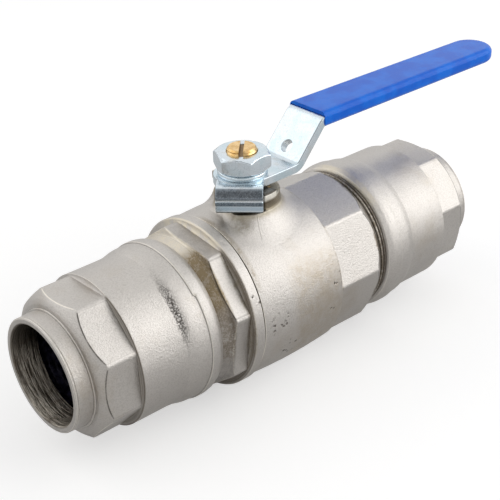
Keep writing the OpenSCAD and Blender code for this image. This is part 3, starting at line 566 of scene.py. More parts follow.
def turnedShell(profile, octagon=None, soft=0.4, rowEvery=1.2, fineZones=(), columns=360, seed=1, waves=0.03, dents=(), jogs=()):
    # radius = the lesser of the profile's and the octagon's flat / cos(angle from the middle of the flat),
    # with a soft meeting of the two, plus a low forging swell on the outside
    # fineZones: low X, high X, spacing, least radius
    def spacing(loop):
        every = np.where(loop[:, 1] > outsideFrom, rowEvery, insideEvery)
        for low, high, fine, least in fineZones:
            every[(loop[:, 0] >= low) & (loop[:, 0] <= high) & (loop[:, 1] > least)] = fine
        return every
    rows = softProfile(profile, soft, spacing)
    x, radius, marks = rows[:, :1], rows[:, 1:2], np.repeat(rows[:, 2:], columns, axis=1)
    angle = np.linspace(0.0, 2 * math.pi, columns, endpoint=False)[None, :]
    full = np.repeat(radius, columns, axis=1)
    # a profile runs along its outside first, up to where it goes in under outsideFrom
    outside = np.cumsum(radius <= outsideFrom, axis=0) == 0
    if octagon:
        eighth = math.pi / 4
        fromFlat = (angle - math.radians(octagon["cornerTurn"])) % eighth - eighth / 2
        flat = octagon["cornerRadius"] * math.cos(math.pi / 8) / np.cos(fromFlat)
        inZone = (x > octagon["from"]) & (x < octagon["to"]) & (radius > octagon["cornerRadius"] * 0.86)
        sharp = octagon["soft"]
        near = np.clip(0.5 + 0.5 * (full - flat) / sharp, 0.0, 1.0)
        wide = np.clip(0.5 + 0.5 * (full - flat) / octagon["edge"], 0.0, 1.0)
        lesser = full * (1 - near) + flat * near - sharp * near * (1 - near)
        full = np.where(inZone, np.minimum(lesser, full), full)
        # edge marks for the finish: a painted highlight along the octagon's corners and along its edge with the turned
        # surface; within the given angles that edge is painted dark instead, a painted shade
        corner = np.exp(-((np.abs(fromFlat) - eighth / 2) * octagon["cornerRadius"] / 0.20) ** 2)
        apart = 1.0 - np.exp(-((np.abs(fromFlat) - eighth / 2) * octagon["cornerRadius"] / 0.80) ** 4)
        shadeFrom, shadeTo = np.radians(octagon["paintedShade"])
        crossing = 4.0 * wide * (1 - wide) * apart * np.where((angle > shadeFrom) & (angle < shadeTo), -1.0, 1.0)
        marks = np.where(inZone, np.where(np.abs(crossing) > 0.1, crossing, np.maximum(marks * (1 - wide), 0.4 * corner * wide)), marks)
    full = full + np.where(outside, forgedWaves(x, angle, seed, waves), 0.0)
    for dentX, dentAngle, lengthX, lengthAngle, depth in dents:
        turn = (angle - math.radians(dentAngle) + math.pi) % (2 * math.pi) - math.pi
        away = ((x - dentX) / lengthX) ** 2 + (turn / math.radians(lengthAngle)) ** 2
        full = full - np.where(outside, depth * np.exp(-away), 0.0)
    along = np.repeat(x, columns, axis=1)
    for jogX, reach, low, high, shift in jogs:
        turned = np.clip((np.degrees(angle) - low) / 1.2 + 0.5, 0, 1) * np.clip((high - np.degrees(angle)) / 30.0, 0, 1)
        along = along + np.where(outside, shift * turned * np.exp(-((x - jogX) / reach) ** 4), 0.0)
    return gridMesh(np.stack([along, full * np.cos(angle), full * np.sin(angle)], -1), marks=marks)


# Compression nuts

nutShape = {
    "length": 49.8, "ridge": 27.0, "step": 0.40, "barrel": 25.25, "octagonCorner": 24.8, "octagonFrom": 30.1,
    "octagonTo": 40.3, "ledge": 19.5, "ledgeAt": 43.6, "lip": 18.75, "mouth": 16.5, "back": 25.0, "thread": 22.7,
}


def nutProfile(waist):
    n = nutShape
    length, barrel, ridge, lip, ledge, ledgeAt = [n[key] for key in ("length", "barrel", "ridge", "lip", "ledge", "ledgeAt")]
    corner = n["octagonCorner"] - 0.15
    outer = [
        (0, n["back"]), (0.5, n["back"] + 0.9), (2.2, ridge - 0.3), (3.8, ridge), (6.0, ridge, 0.15),
        (6.2, ridge - n["step"], 0.10), (10.5, barrel + 1.1, 0.9), (13.0, barrel + 0.25 + waist, 0.25), (13.5, barrel + 0.25, 0.25),
        (16.8, barrel, 0.9), (n["octagonFrom"] - 0.1, barrel, 0.08), (n["octagonFrom"] + 0.1, corner, 0.08), (n["octagonTo"], corner, 0.12),
        (ledgeAt - 1.9, 23.3, 0.6), (ledgeAt - 0.7, 21.9, 0.5), (ledgeAt - 0.1, 20.6, 0.3), (ledgeAt, ledge + 0.05, 0.08),
        (ledgeAt + 0.35, ledge - 0.05, 0.08), (ledgeAt + 0.45, lip + 0.15, 0.08), (length - 1.05, lip, 0.04),
        (length - 0.90, lip - 0.22, 0.04), (length - 0.75, lip, 0.04), (length - 0.35, lip, 0.12), (length, lip - 0.35, 0.12),
    ]
    inner = [
        (length, n["mouth"] + 0.45, 0.10), (length - 0.45, n["mouth"], 0.10), (40.2, n["mouth"]), (40.2, n["mouth"] + 1.4),
        (21.0, n["thread"] - 0.6), (21.0, n["thread"]), (0.8, n["thread"]), (0, n["thread"] + 0.8),
    ]
    return outer + inner


def nutPiece(name, side, start, cornerTurn, paintedShade, waist, finish, seed, dents, jogs=()):
    # side -1 carries the profile towards the near mouth, +1 towards the far one
    profile = [(start + side * along, *rest) for along, *rest in nutProfile(waist)]
    ends = sorted((start + side * nutShape["octagonFrom"], start + side * 45.0))
    zones = [
        (*sorted((start + side * low, start + side * high)), fine, least)
        for low, high, fine, least in ((28.2, 41.5, 0.34, 23.0), (40.0, 50.0, 0.36, 18.3), (4.5, 9.0, 0.5, 23.5))
    ]
    octagon = {"cornerTurn": cornerTurn, "cornerRadius": nutShape["octagonCorner"], "from": ends[0], "to": ends[1], "soft": 0.20, "edge": 0.30, "paintedShade": paintedShade}
    shell = turnedShell(profile, octagon, 0.34, 1.4, zones, 440, seed, 0.035, dents, jogs)
    return makePiece(name + "_shell", [shell], name, name, finish)


nutPiece(
    "near_nut", -1, -31.5, 20.7, (111.5, 200.0), 0.22, nearNutFinish, 11,
    [(-37.1, 136.9, 0.40, 0.8, 0.55), (-38.2, 138.6, 0.60, 0.5, 0.25)], [(-37.6, 1.6, 137.2, 215.0, 0.75)],
)
nutPiece("far_nut", 1, 42.5, 26.9, (117.0, 206.0), 0.06, farNutFinish, 12, [(50.34, 128.2, 0.8, 1.6, 0.08)])
print("compression nuts made")


# End cap, and the turned part of the body

capProfile = [
    (-9.5, 20.5), (-9.5, 24.3), (-17.25, 24.3), (-17.25, 28.75, 0.1), (-17.6, 29.26, 0.12), (-20.9, 29.26, 0.10), (-21.3, 28.9, 0.08),
    (-21.6, 28.2, 0.08), (-26.9, 28.2, 0.10), (-27.9, 25.85, 0.5), (-29.4, 25.2, 0.6), (-31.2, 24.3), (-31.2, 21.4), (-33.5, 21.4), (-34.7, 22.6),
    (-49.7, 22.6), (-50.5, 21.8), (-50.5, 20.8), (-48.7, 20.8), (-48.7, 16.5), (-35.5, 16.5), (-35.5, 13.5), (-19.486, 13.5),
    (-19.486, 18.7), (-12.0, 18.7),
]
capShell = turnedShell(
    capProfile, {"cornerTurn": 29.5, "cornerRadius": 28.3, "from": -28.2, "to": -21.45, "soft": 0.16, "edge": 0.50, "paintedShade": (121.0, 163.0)},
    0.26, 1.4, [(-30.5, -20.6, 0.28, 24.0), (-18.0, -17.0, 0.25, 24.4)], 440, 21, 0.025,
    [(-19.1, 115.4, 0.30, 2.2, 0.16), (-19.7, 114.2, 0.25, 1.0, 0.12)],
)
makePiece("end_cap_shell", [capShell], "housing", "end_cap", capFinish)
print("end cap made")

barrelX = np.linspace(-16.65, 17.6, 8)
crown = (17.2 ** 2 + 0.7 ** 2) / 1.4
barrelRadius = 29.26 - crown + np.sqrt(crown ** 2 - barrelX ** 2)
bodyProfile = [(-16.95, 24.4), (-16.95, 28.2, 0.1), *zip(barrelX, barrelRadius)] + [
    (17.75, 28.0, 0.08), (35.4, 28.0, 0.12), (39.0, 25.57), (39.3, 24.57), (40.1, 24.57), (40.3, 25.17), (40.9, 25.17),
    (41.1, 24.57), (41.5, 24.57), (41.7, 25.07), (42.2, 25.07), (42.2, 21.4), (44.5, 21.4), (45.7, 22.6),
    (60.7, 22.6), (61.5, 21.8), (61.5, 20.8), (59.7, 20.8), (59.7, 16.5), (46.5, 16.5), (46.5, 13.5),
    (19.486, 13.5), (19.486, 18.7), (12.0, 18.7), (9.5, 20.5), (9.5, 21.8), (-8.5, 21.8), (-8.5, 24.4),
]
bodyShell = turnedShell(
    bodyProfile, {"cornerTurn": 43.0, "cornerRadius": 28.0, "from": 17.7, "to": 39.2, "soft": 0.30, "edge": 0.30, "paintedShade": (88.0, 220.0)},
    0.30, 2.4, [(17.0, 19.2, 0.36, 24.0), (34.2, 42.4, 0.38, 24.4)], 370, 31, 0.03,
)


# Neck: pad, wall and stop lugs round the stem

neckShape = {
    "bore": 8.7, "padRadius": 12.7, "slimRadius": 9.35, "wallRadius": 11.9, "padZ": 31.0, "neckZ": 34.3, "lugLow": 33.9,
    "lugHigh": 36.7, "nearLug": 12.3, "farLug": 13.6, "stopAt": 7.5, "farStopAt": 8.2, "blend": 6.5, "blendTo": 16.3, "barrel": 29.26,
}


def neckShell(columns=380):
    # for each direction round the stem, a loop of radius and height: bore, top, lug, wall, pad, and a fillet
    # that runs out on the barrel, whose height is sqrt(R^2 - y^2)
    n = neckShape
    angle = np.linspace(0.0, 2 * math.pi, columns, endpoint=False)
    degrees = np.degrees(angle)
    tabWay = math.radians(225)

    def beyond(radius, mirrored):
        # 1 where a point at that radius lies past the stop face beside the resting tab
        y = -np.sin(angle) if mirrored else np.sin(angle)
        across = radius * (-math.sin(tabWay) * np.cos(angle) + math.cos(tabWay) * y)
        return np.clip((across - n["farStopAt" if mirrored else "stopAt"]) / 0.25 + 0.5, 0.0, 1.0)

    def sector(low, high, soft=0.8):
        return np.clip((degrees - low) / soft + 0.5, 0, 1) * np.clip((high - degrees) / soft + 0.5, 0, 1)
    nearLug = beyond(n["nearLug"], False) * sector(180, 290)
    farLug = beyond(n["farLug"], True) * sector(70, 180)
    lug = np.maximum(nearLug, farLug)
    lugRadius = n["slimRadius"] + (n["nearLug"] - n["slimRadius"]) * nearLug + (n["farLug"] - n["slimRadius"]) * farLug
    side = np.maximum(sector(0, 50), sector(310, 360.5))
    side = np.maximum(side, np.maximum(beyond(11.9, False) * sector(200, 359), beyond(11.9, True) * sector(1, 160)))
    wall = n["slimRadius"] + (n["wallRadius"] - n["slimRadius"]) * side
    slim = sector(110, 206, 30.0)
    pad = n["padRadius"] - (n["padRadius"] - n["slimRadius"] - 0.1) * slim ** 2 * (3 - 2 * slim)
    pad = np.maximum(pad, wall + 0.05)
    topZ = n["neckZ"] + (n["lugHigh"] - n["neckZ"]) * lug
    topRadius = np.maximum(wall, lugRadius * lug + wall * (1 - lug))
    lowZ = n["neckZ"] - 0.4 + 0 * lug

    def onBarrel(radius):
        # the barrel's radius there is R = 29.26 - crown + sqrt(crown^2 - x^2), as in its own profile
        barrel = n["barrel"] - crown + np.sqrt(crown ** 2 - (radius * np.cos(angle)) ** 2)
        return np.sqrt(barrel ** 2 - (radius * np.sin(angle)) ** 2)
    rows = [(n["bore"] + 0 * angle, 24.0 + 0 * angle), (n["bore"] + 0 * angle, topZ - 0.8), (n["bore"] - 0.6 * lug, topZ - 0.3), (n["bore"] + 0.3 - 0.7 * lug, topZ)]
    rows += [(topRadius - 0.45, topZ), (topRadius - 0.12, topZ - 0.12), (topRadius, topZ - 0.45)]
    rows += [(topRadius, lowZ + 0.25), (topRadius - 0.1 * lug, lowZ), (wall + 0.25 * lug, lowZ), (wall, lowZ - 0.25)]
    rows += [(wall, n["padZ"] + 0.5 + 0 * angle), (wall + 0.15, n["padZ"] + 0.12 + 0 * angle), (np.minimum(wall + 0.5, pad), n["padZ"] + 0 * angle)]
    rows += [(np.maximum(pad - 0.5, wall + 0.03), n["padZ"] + 0 * angle), (pad - 0.12, n["padZ"] - 0.1 + 0 * angle), (pad, n["padZ"] - 0.45 + 0 * angle)]
    # edge marks for the finish: painted highlight on the top's outer edge and the pad's edge, painted shade in the
    # corners under the lugs and at the wall's foot
    marks = np.zeros(len(rows))
    marks[[5, 15]], marks[[9, 12]] = 0.9, -0.8
    # the blend is the curve (1-t)^2 P + 2t(1-t) Q + t^2 S from the pad's edge to the barrel, with Q on the
    # barrel's own slope at S
    run = n["blend"] * (1.0 - 0.65 * slim)
    far = np.minimum(pad + run, n["blendTo"] / np.maximum(np.abs(np.cos(angle)), 0.3))
    knee = pad + 0.30 * (far - pad)
    edgeZ, endZ = n["padZ"] - 0.45, onBarrel(far)
    kneeZ = endZ + (far - knee) * (onBarrel(far - 0.1) - endZ) / 0.1
    for t in np.linspace(0.0, 1.0, 17)[1:]:
        radius = (1 - t) ** 2 * pad + 2 * t * (1 - t) * knee + t ** 2 * far
        height = (1 - t) ** 2 * edgeZ + 2 * t * (1 - t) * kneeZ + t ** 2 * endZ
        rows.append((radius, height - 0.03 * t))
    rows += [(far + 0.3, onBarrel(far + 0.3) - 1.0), (far, 22.0 + 0 * angle)]
    marks = np.concatenate([marks, np.zeros(len(rows) - len(marks))])
    radius = np.array([row[0] for row in rows])
    height = np.array([row[1] for row in rows])
    points = np.stack([radius * np.cos(angle), radius * np.sin(angle), height], -1)
    return gridMesh(points, marks=np.repeat(marks[:, None], columns, axis=1))


makePiece("valve_body_shell", [bodyShell, neckShell()], "housing", "valve_body", bodyFinish)
print("valve body made")


# Lever: a pressed strip with rounded edges, and the tab folded from its hub

leverShape = {
    "low": 37.0, "thick": 3.0, "hub": 9.5, "hubHalf": 8.5, "halfAtRise": 8.2, "halfAtTip": 6.8, "riseX": 16.6, "riseRun": 11.6,
    "riseHeight": 13.1, "bend": 2.6, "tipX": 118.6, "edge": 0.38, "tabHalf": 7.2, "tabLead": 0.65, "tabIn": 10.2, "tabLow": 32.0,
    "tabBend": 1.2, "tabTurn": 225.0, "crease": 3.9, "holeRadius": 2.3, "holeAt": 4.2,
}


def sectionOutline():
    # points round a rectangle with rounded edges, each as (corner across, corner up, arc across, arc up)
    quarter = np.linspace(0.0, math.pi / 2, 5)
    arc = np.stack([np.cos(quarter), np.sin(quarter)], -1)
    sides = []
    for signC, signS, order in ((1, 1, 1), (-1, 1, -1), (-1, -1, 1), (1, -1, -1)):
        curve = arc[::order]
        sides.append(np.column_stack([np.full(5, signC), np.full(5, signS), curve[:, 0] * signC, curve[:, 1] * signS]))
        if signC * signS > 0:  # the long side that follows this corner
            inner = np.linspace(1, -1, 9)[1:-1] * signC
            sides.append(np.column_stack([inner, np.full(7, signS), np.zeros(7), np.full(7, signS)]))
        else:  # the short side that follows
            inner = np.linspace(1, -1, 4)[1:-1] * signS
            sides.append(np.column_stack([np.full(2, signC), inner, np.full(2, signC), np.zeros(2)]))
    return np.concatenate(sides).T


def stripAlong(centre, ahead, half, halfThick, edge):
    # point = centre + side * across + (ahead turned a quarter) * lift, with across and lift from the rounded section
    atC, atS, arcC, arcS = sectionOutline()
    half, halfThick = half[:, None], halfThick[:, None]
    edgeC, edgeS = np.minimum(edge, half), np.minimum(edge, halfThick)
    across = atC * (half - edgeC) + edgeC * arcC
    lift = atS * (halfThick - edgeS) + edgeS * arcS
    out = centre[:, :1] - ahead[:, 1:] * lift
    up = centre[:, 1:] + ahead[:, :1] * lift
    onCorner = np.abs(arcC * arcS) > 0.2
    return np.stack([out, across, up], -1), lift, np.broadcast_to(onCorner, out.shape)


def leverPath():
    # the middle of the strip seen from the side: hub, arc, rise, arc, arm
    v = leverShape
    slope = math.atan2(v["riseHeight"], v["riseRun"])
    half = math.tan(slope / 2)
    middle = v["bend"] + v["thick"] / 2
    lowTop, highTop = v["low"] + v["thick"], v["low"] + v["thick"] + v["riseHeight"]
    lowCentre = (v["riseX"] - v["bend"] * half, lowTop + v["bend"])
    highCentre = (v["riseX"] + v["riseRun"] + (v["bend"] + v["thick"]) * half, highTop - v["bend"] - v["thick"])
    turn = np.linspace(0.0, slope, 12)
    hubX = np.concatenate([-v["hub"] + v["hub"] * np.linspace(0, 1, 26) ** 2, np.linspace(1.0, lowCentre[0] - 0.3, 10)])
    hub = np.column_stack([hubX, np.full(len(hubX), lowTop - v["thick"] / 2)])
    low = np.column_stack([lowCentre[0] + middle * np.sin(turn), lowCentre[1] - middle * np.cos(turn)])
    high = np.column_stack([highCentre[0] - middle * np.sin(turn[::-1]), highCentre[1] + middle * np.cos(turn[::-1])])
    rise = low[-1] + (high[0] - low[-1]) * np.linspace(0, 1, 14)[1:-1, None]
    tip = v["halfAtTip"]
    armX = np.concatenate([np.linspace(high[-1, 0], v["tipX"] - tip, 22)[1:], v["tipX"] - tip * np.linspace(1, 0, 16)[1:] ** 2])
    arm = np.column_stack([armX, np.full(len(armX), high[-1, 1])])
    centre = np.concatenate([hub, low, rise, high, arm])
    ahead = np.gradient(centre, axis=0)
    ahead[:len(hub)] = (1, 0)
    ahead[-len(arm):] = (1, 0)
    ahead /= np.linalg.norm(ahead, axis=1, keepdims=True)
    x = centre[:, 0]
    width = np.interp(x, [0, v["riseX"], v["tipX"]], [v["hubHalf"], v["halfAtRise"], tip])
    width = np.where(x < 0, np.minimum(v["hubHalf"], np.sqrt(np.maximum(v["hub"] ** 2 - x ** 2, 0))), width)
    width = np.minimum(width, np.sqrt(np.maximum(tip ** 2 - np.maximum(x - v["tipX"] + tip, 0) ** 2, 0)) + np.where(x > v["tipX"] - tip, 0, 99))
    return centre, ahead, width


def leverStrip():
    centre, ahead, width = leverPath()
    points, _, marks = stripAlong(centre, ahead, width, np.full(len(width), leverShape["thick"] / 2), leverShape["edge"])
    return gridMesh(points, closedRows=False, marks=marks)


def leverTab():
    # path: out along the hub, a quarter turn down, and straight to the tab's end, then turned to its place
    v = leverShape
    half, edge = v["thick"] / 2, v["edge"]
    foldX, foldZ, middle = v["tabIn"] - v["tabBend"], v["low"] - v["tabBend"], v["tabBend"] + half
    turn = np.linspace(0.0, math.pi / 2, 15)
    flat = np.column_stack([[2.0, 2.0, 5.0, 7.5, 8.8], np.full(5, v["low"] + half)])
    fold = np.column_stack([foldX + middle * np.sin(turn), foldZ + middle * np.cos(turn)])
    downZ = np.concatenate([np.linspace(foldZ, v["tabLow"] + edge, 30)[1:], v["tabLow"] + edge * np.array([0.3, 0.0, 0.0])])
    down = np.column_stack([np.full(len(downZ), v["tabIn"] + half), downZ])
    centre = np.concatenate([flat, fold, down])
    ahead = np.concatenate([np.tile([1.0, 0.0], (5, 1)), np.column_stack([np.cos(turn), -np.sin(turn)]), np.tile([0.0, -1.0], (len(down), 1))])
    width = np.full(len(centre), v["tabHalf"])
    thick = np.full(len(centre), half)
    thick[:5] = half - 0.02
    thick[0] = 0.0
    width[-3:] -= edge * np.array([0.3, 1.0, 1.0])
    thick[-3:] = (half - 0.3 * edge, half - edge, 0.0)
    points, lift, _ = stripAlong(centre, ahead, width, thick, edge)
    fromCrease = (points[:, :, 2] - v["tabLow"] - v["crease"]) / 0.45
    groove = np.where((lift > 0.5) & (centre[:, 1:] < foldZ + 0.6), 0.42 * np.exp(-fromCrease ** 2 * 2.2), 0.0)
    points[:, :, 0] -= groove
    points[:, :, 1] -= v["tabLead"] * np.clip(-points[:, :, 1] / v["tabHalf"], 0, 1) * (centre[:, 1:] < v["low"] + half + 0.01)
    c, s = math.cos(math.radians(v["tabTurn"])), math.sin(math.radians(v["tabTurn"]))
    out, across, up = points[..., 0], points[..., 1], points[..., 2]
    return gridMesh(np.stack([out * c - across * s, out * s + across * c, up], -1), closedRows=False)


def cutAway(piece, cutter):
    # the cutter, a bmesh in millimetres, is taken out of the piece once
    mesh = bpy.data.meshes.new("cutter")
    bmesh.ops.scale(cutter, vec=(mm, mm, mm), verts=cutter.verts)
    cutter.to_mesh(mesh)
    cutter.free()
    tool = bpy.data.objects.new("cutter", mesh)
    bpy.context.scene.collection.objects.link(tool)
    cut = piece.modifiers.new("cut", "BOOLEAN")
    cut.object = tool
    cut.solver = "EXACT"
    bpy.context.view_layer.update()
    cutMesh = bpy.data.meshes.new_from_object(piece.evaluated_get(bpy.context.evaluated_depsgraph_get()))
    piece.modifiers.clear()
    cutMesh.name = piece.name
    piece.data = cutMesh
    bpy.data.objects.remove(tool)
    piece.data.set_sharp_from_angle(angle=math.radians(35))


leverPiece = makePiece("lever_strip", [leverStrip()], "handle", "lever", leverFinish)
slope = math.atan2(leverShape["riseHeight"], leverShape["riseRun"])
holeAt = (
    leverShape["riseX"] + leverShape["holeAt"] * math.cos(slope), 0,
    leverShape["low"] + leverShape["thick"] + leverShape["holeAt"] * math.sin(slope),
)
lockHole = bmesh.new()
bmesh.ops.create_cone(lockHole, cap_ends=True, segments=64, radius1=leverShape["holeRadius"], radius2=leverShape["holeRadius"], depth=12)
bmesh.ops.transform(lockHole, matrix=Matrix.Translation(holeAt) @ Matrix.Rotation(-slope, 4, "Y"), verts=lockHole.verts)
cutAway(leverPiece, lockHole)
makePiece("lever_tab", [leverTab()], "handle", "lever", tabFinish)
print("lever made")


# Stem head and washer: profiles of radius and height carried round the stem

headShape = {"low": 44.5, "top": 49.1, "radius": 4.98, "pitch": 1.25, "thread": 0.42, "chamfer": 0.75, "slotWidth": 1.4, "slotDepth": 1.7, "slotTurn": 225}


def stemHead(columns=144):
    # radius = crest - thread depth * |saw tooth of (height / pitch - turn)|, held under the top's chamfer
    h = headShape
    angle = np.linspace(0.0, 2 * math.pi, columns, endpoint=False)[None, :]
    height = np.linspace(h["low"], h["top"], 70)[:, None]
    phase = (height / h["pitch"] - angle / (2 * math.pi)) % 1.0
    radius = h["radius"] - h["thread"] * np.abs(2 * phase - 1) ** 0.8
    radius = np.minimum(radius, h["radius"] - h["chamfer"] + np.minimum(h["top"] - height, 3.0))
    ends = [(0.0, h["low"]), (0.0, h["top"])]
    flatRings = [radius[:1] * share for share in (0.0, 0.98)], [radius[-1:] * share for share in (0.985, 0.5, 0.0)]
    radius = np.concatenate([*flatRings[0], radius, *flatRings[1]])
    height = np.concatenate([np.full((2, 1), ends[0][1]), height, np.full((3, 1), ends[1][1])])
    return gridMesh(np.stack([radius * np.cos(angle), radius * np.sin(angle), height + 0 * angle], -1), closedRows=False)


stemHeadPiece = makePiece("stem_head", [stemHead()], "handle", "stem", stemFinish)
slotCutter = bmesh.new()
bmesh.ops.create_cube(slotCutter, size=1.0)
bmesh.ops.scale(slotCutter, vec=(16, headShape["slotWidth"], 2 * headShape["slotDepth"]), verts=slotCutter.verts)
slotPlace = Matrix.Translation((0, 0, headShape["top"])) @ Matrix.Rotation(math.radians(headShape["slotTurn"]), 4, "Z")
bmesh.ops.transform(slotCutter, matrix=slotPlace, verts=slotCutter.verts)
cutAway(stemHeadPiece, slotCutter)

washerShape = {"inner": 5.2, "outer": 8.1, "low": 40.0, "high": 41.75}


def washerRing(columns=120):
    # a closed loop of radius and height with its corners softened
    w = washerShape
    loop = softProfile([(w["low"], w["inner"]), (w["low"], w["outer"]), (w["high"], w["outer"]), (w["high"], w["inner"])], 0.3, lambda loop: np.full(len(loop), 0.6))
    angle = np.linspace(0.0, 2 * math.pi, columns, endpoint=False)[None, :]
    radius, height = loop[:, 1:2], loop[:, :1]
    return gridMesh(np.stack([radius * np.cos(angle), radius * np.sin(angle), height + 0 * angle], -1))


makePiece("lock_washer_ring", [washerRing()], "handle", "lock_washer", washerFinish)
print("stem head and washer made")


# Rounded copies: small turned and milled pieces whose edges are just broken

edges = {"handle_nut": (0.00026, 3), "stem": (0.00018, 2), "gland_nut": (0.00018, 2)}
nutHeights = (41.5, 46.9), (41.9, 47.7)  # the lever's nut stands this high over and under its solid
stemCut = 45.0  # the head piece carries on from here


def roundedCopy(name, width, segments):
    # the node's own mesh with doubles merged and flat faces whole, then every edge over 28 degrees rounded
    shape = bmesh.new()
    shape.from_mesh(nodes[name].data)
    bmesh.ops.remove_doubles(shape, verts=shape.verts, dist=2e-6)
    bmesh.ops.dissolve_limit(shape, angle_limit=math.radians(0.6), verts=shape.verts, edges=shape.edges)
    if name == "stem":
        whole = [*shape.verts, *shape.edges, *shape.faces]
        bmesh.ops.bisect_plane(shape, geom=whole, plane_co=(0, 0, stemCut * mm), plane_no=(0, 0, 1), clear_outer=True)
        bmesh.ops.holes_fill(shape, edges=shape.edges)
    if name == "handle_nut":
        (oldLow, oldHigh), (newLow, newHigh) = nutHeights
        stretch = (newHigh - newLow) / (oldHigh - oldLow)
        bmesh.ops.translate(shape, vec=(0, 0, -oldLow * mm), verts=shape.verts)
        bmesh.ops.scale(shape, vec=(1, 1, stretch), verts=shape.verts)
        bmesh.ops.translate(shape, vec=(0, 0, newLow * mm), verts=shape.verts)
    mesh = bpy.data.meshes.new(name + "_rounded")
    shape.to_mesh(mesh)
    shape.free()
    mesh.polygons.foreach_set("use_smooth", np.ones(len(mesh.polygons), bool))
    piece = bpy.data.objects.new(name + "_rounded", mesh)
    bpy.context.scene.collection.objects.link(piece)
    bevel = piece.modifiers.new("soft edges", "BEVEL")
    bevel.width = width
    bevel.segments = segments
    bevel.limit_method = "ANGLE"
    bevel.angle_limit = math.radians(28)
    bevel.harden_normals = True
    bevel.use_clamp_overlap = False
    bevel.miter_outer = "MITER_ARC"
    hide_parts(name)
    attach(piece, nodes[name]["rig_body"])
    return piece


replaced = ("valve_body", "end_cap", "near_nut", "far_nut", "lever", "lock_washer")
shown = {name: node for name, node in nodes.items() if name not in replaced}
for name, (width, segments) in edges.items():
    shown[name] = roundedCopy(name, width, segments)
print("edges rounded on", len(edges), "nodes")


finishOf = {
    "near_grip_ring": gripRingSheenFinish, "far_grip_ring": gripRingSheenFinish,
    "near_pressure_ring": glandFinish, "far_pressure_ring": glandFinish,
    "near_pipe_seal": rubberFinish, "far_pipe_seal": rubberFinish,
    "ball": ballFinish, "near_seat": seatFinish, "far_seat": seatFinish, "body_seal": rubberFinish,
    "stem": stemFinish, "stem_thrust_washer": seatFinish, "stem_o_ring": rubberFinish,
    "stem_packing": seatFinish, "packing_follower": glandFinish, "gland_nut": glandFinish,
    "grip": gripFinish, "handle_nut": leverNutFinish,
}
hiddenFinish = {"end_cap": capFinish, "lever": leverFinish, "lock_washer": washerFinish}
for name in replaced:
    nodes[name].data.materials.clear()
    nodes[name].data.materials.append(hiddenFinish.get(name, bodyFinish))
for name, piece in shown.items():
    piece.data.materials.clear()
    piece.data.materials.append(finishOf[name])


# Floor, light and camera

studio = {
    "floorColour": (0.62, 0.618, 0.615),
    "floorGlow": 0.50,
    "floorGlossShare": 0.12,
    "worldGrey": 0.72,
    "darkSide": {"towards": (-0.46, -0.56, 0.69), "inner": 0.93, "outer": 0.76, "grey": 0.46},
    "key": {"from": (0.66, -0.66, 0.46), "size": 0.95, "watts": 4.6},
    "back": {"from": (-0.50, 0.66, 0.62), "size": 0.80, "watts": 0.9},
}


def seenMask(tree, glossShare=1.0):
    # 1 for the rays that show the background: straight from the camera, or by way of gloss or glass
    path = tree.nodes.new("ShaderNodeLightPath")
    mask = maths(tree, "MAXIMUM", path.outputs["Is Camera Ray"], path.outputs["Is Transmission Ray"])
    return maths(tree, "MAXIMUM", mask, maths(tree, "MULTIPLY", path.outputs["Is Glossy Ray"], glossShare))


def plainFloor():
    low = cadBox[0][2] - 0.0004
    reach = 6.0
    mesh = bpy.data.meshes.new("floor")
    mesh.from_pydata([(-reach, -reach, low), (reach, -reach, low), (reach, reach, low), (-reach, reach, low)], [], [(0, 1, 2, 3)])
    floor = bpy.data.objects.new("floor", mesh)
    bpy.context.scene.collection.objects.link(floor)
    paint = bpy.data.materials.new("floor_paint")
    paint.use_nodes = True
    shader = paint.node_tree.nodes["Principled BSDF"]
    shader.inputs["Base Color"].default_value = (*studio["floorColour"], 1.0)
    shader.inputs["Roughness"].default_value = 0.9
    shader.inputs["Specular IOR Level"].default_value = 0.0
    shader.inputs["Emission Color"].default_value = (1.0, 1.0, 1.0, 1.0)
    tree = paint.node_tree
    join(tree, maths(tree, "MULTIPLY", seenMask(tree, studio["floorGlossShare"]), studio["floorGlow"]), shader.inputs["Emission Strength"])
    mesh.materials.append(paint)


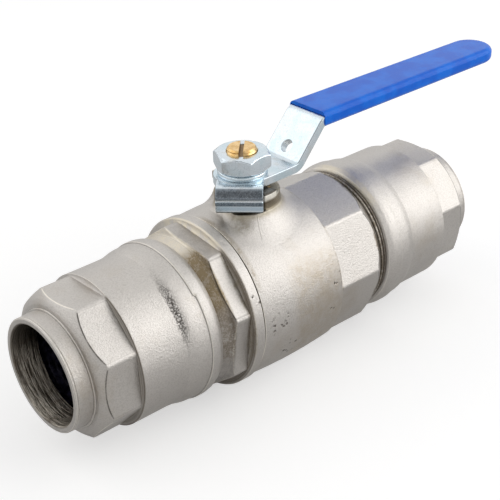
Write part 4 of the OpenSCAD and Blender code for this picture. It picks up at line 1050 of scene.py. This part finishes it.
def softLamp(name, place, size, watts):
    data = bpy.data.lights.new(name, "AREA")
    data.shape = "SQUARE"
    data.size = size
    data.energy = watts
    lamp = bpy.data.objects.new(name, data)
    lamp.location = place
    lamp.rotation_mode = "QUATERNION"
    lamp.rotation_quaternion = (-Vector(place)).to_track_quat("-Z", "Y")
    bpy.context.scene.collection.objects.link(lamp)


def studioWorld():
    # plain grey for what it lights, white where it shows, and darker on the camera's side as in the photo
    world = bpy.data.worlds.new("studio")
    world.use_nodes = True
    tree = world.node_tree
    side = studio["darkSide"]
    towards = tree.nodes.new("ShaderNodeVectorMath")
    towards.operation = "DOT_PRODUCT"
    join(tree, tree.nodes.new("ShaderNodeTexCoord").outputs["Generated"], towards.inputs[0])
    towards.inputs[1].default_value = Vector(side["towards"]).normalized()
    dark = ramp(tree, towards.outputs["Value"], side["outer"], side["inner"])
    light = blend(tree, seenMask(tree), (studio["worldGrey"],) * 3, (1.0, 1.0, 1.0))
    join(tree, blend(tree, dark, light, (side["grey"],) * 3), tree.nodes["Background"].inputs["Color"])
    bpy.context.scene.world = world


plainFloor()
studioWorld()
for name in ("key", "back"):
    softLamp(name + "_light", studio[name]["from"], studio[name]["size"], studio[name]["watts"])
bpy.context.scene.view_settings.view_transform = "Standard"


view = {
    "eye": (-0.21434, -0.25145, 0.19628),
    "back": (-0.55672, -0.65483, 0.51114),
    "roll": math.radians(-1.78),
    "lens": 81.96,
    "shift": (0.011, 0.0605),
}


def photoCamera():
    back = Vector(view["back"]).normalized()
    right = Vector((-back.y, back.x, 0)).normalized()
    up = back.cross(right)
    c, s = math.cos(view["roll"]), math.sin(view["roll"])
    turned = Matrix((right * c + up * s, up * c - right * s, back)).transposed().to_4x4()
    data = bpy.data.cameras.new("camera")
    data.lens = view["lens"]
    data.sensor_width = 36.0
    data.shift_x, data.shift_y = view["shift"]
    data.clip_start, data.clip_end = 0.01, 20.0
    camera = bpy.data.objects.new("camera", data)
    camera.matrix_world = Matrix.Translation(view["eye"]) @ turned
    bpy.context.scene.collection.objects.link(camera)
    bpy.context.scene.camera = camera


photoCamera()
print("studio ready")
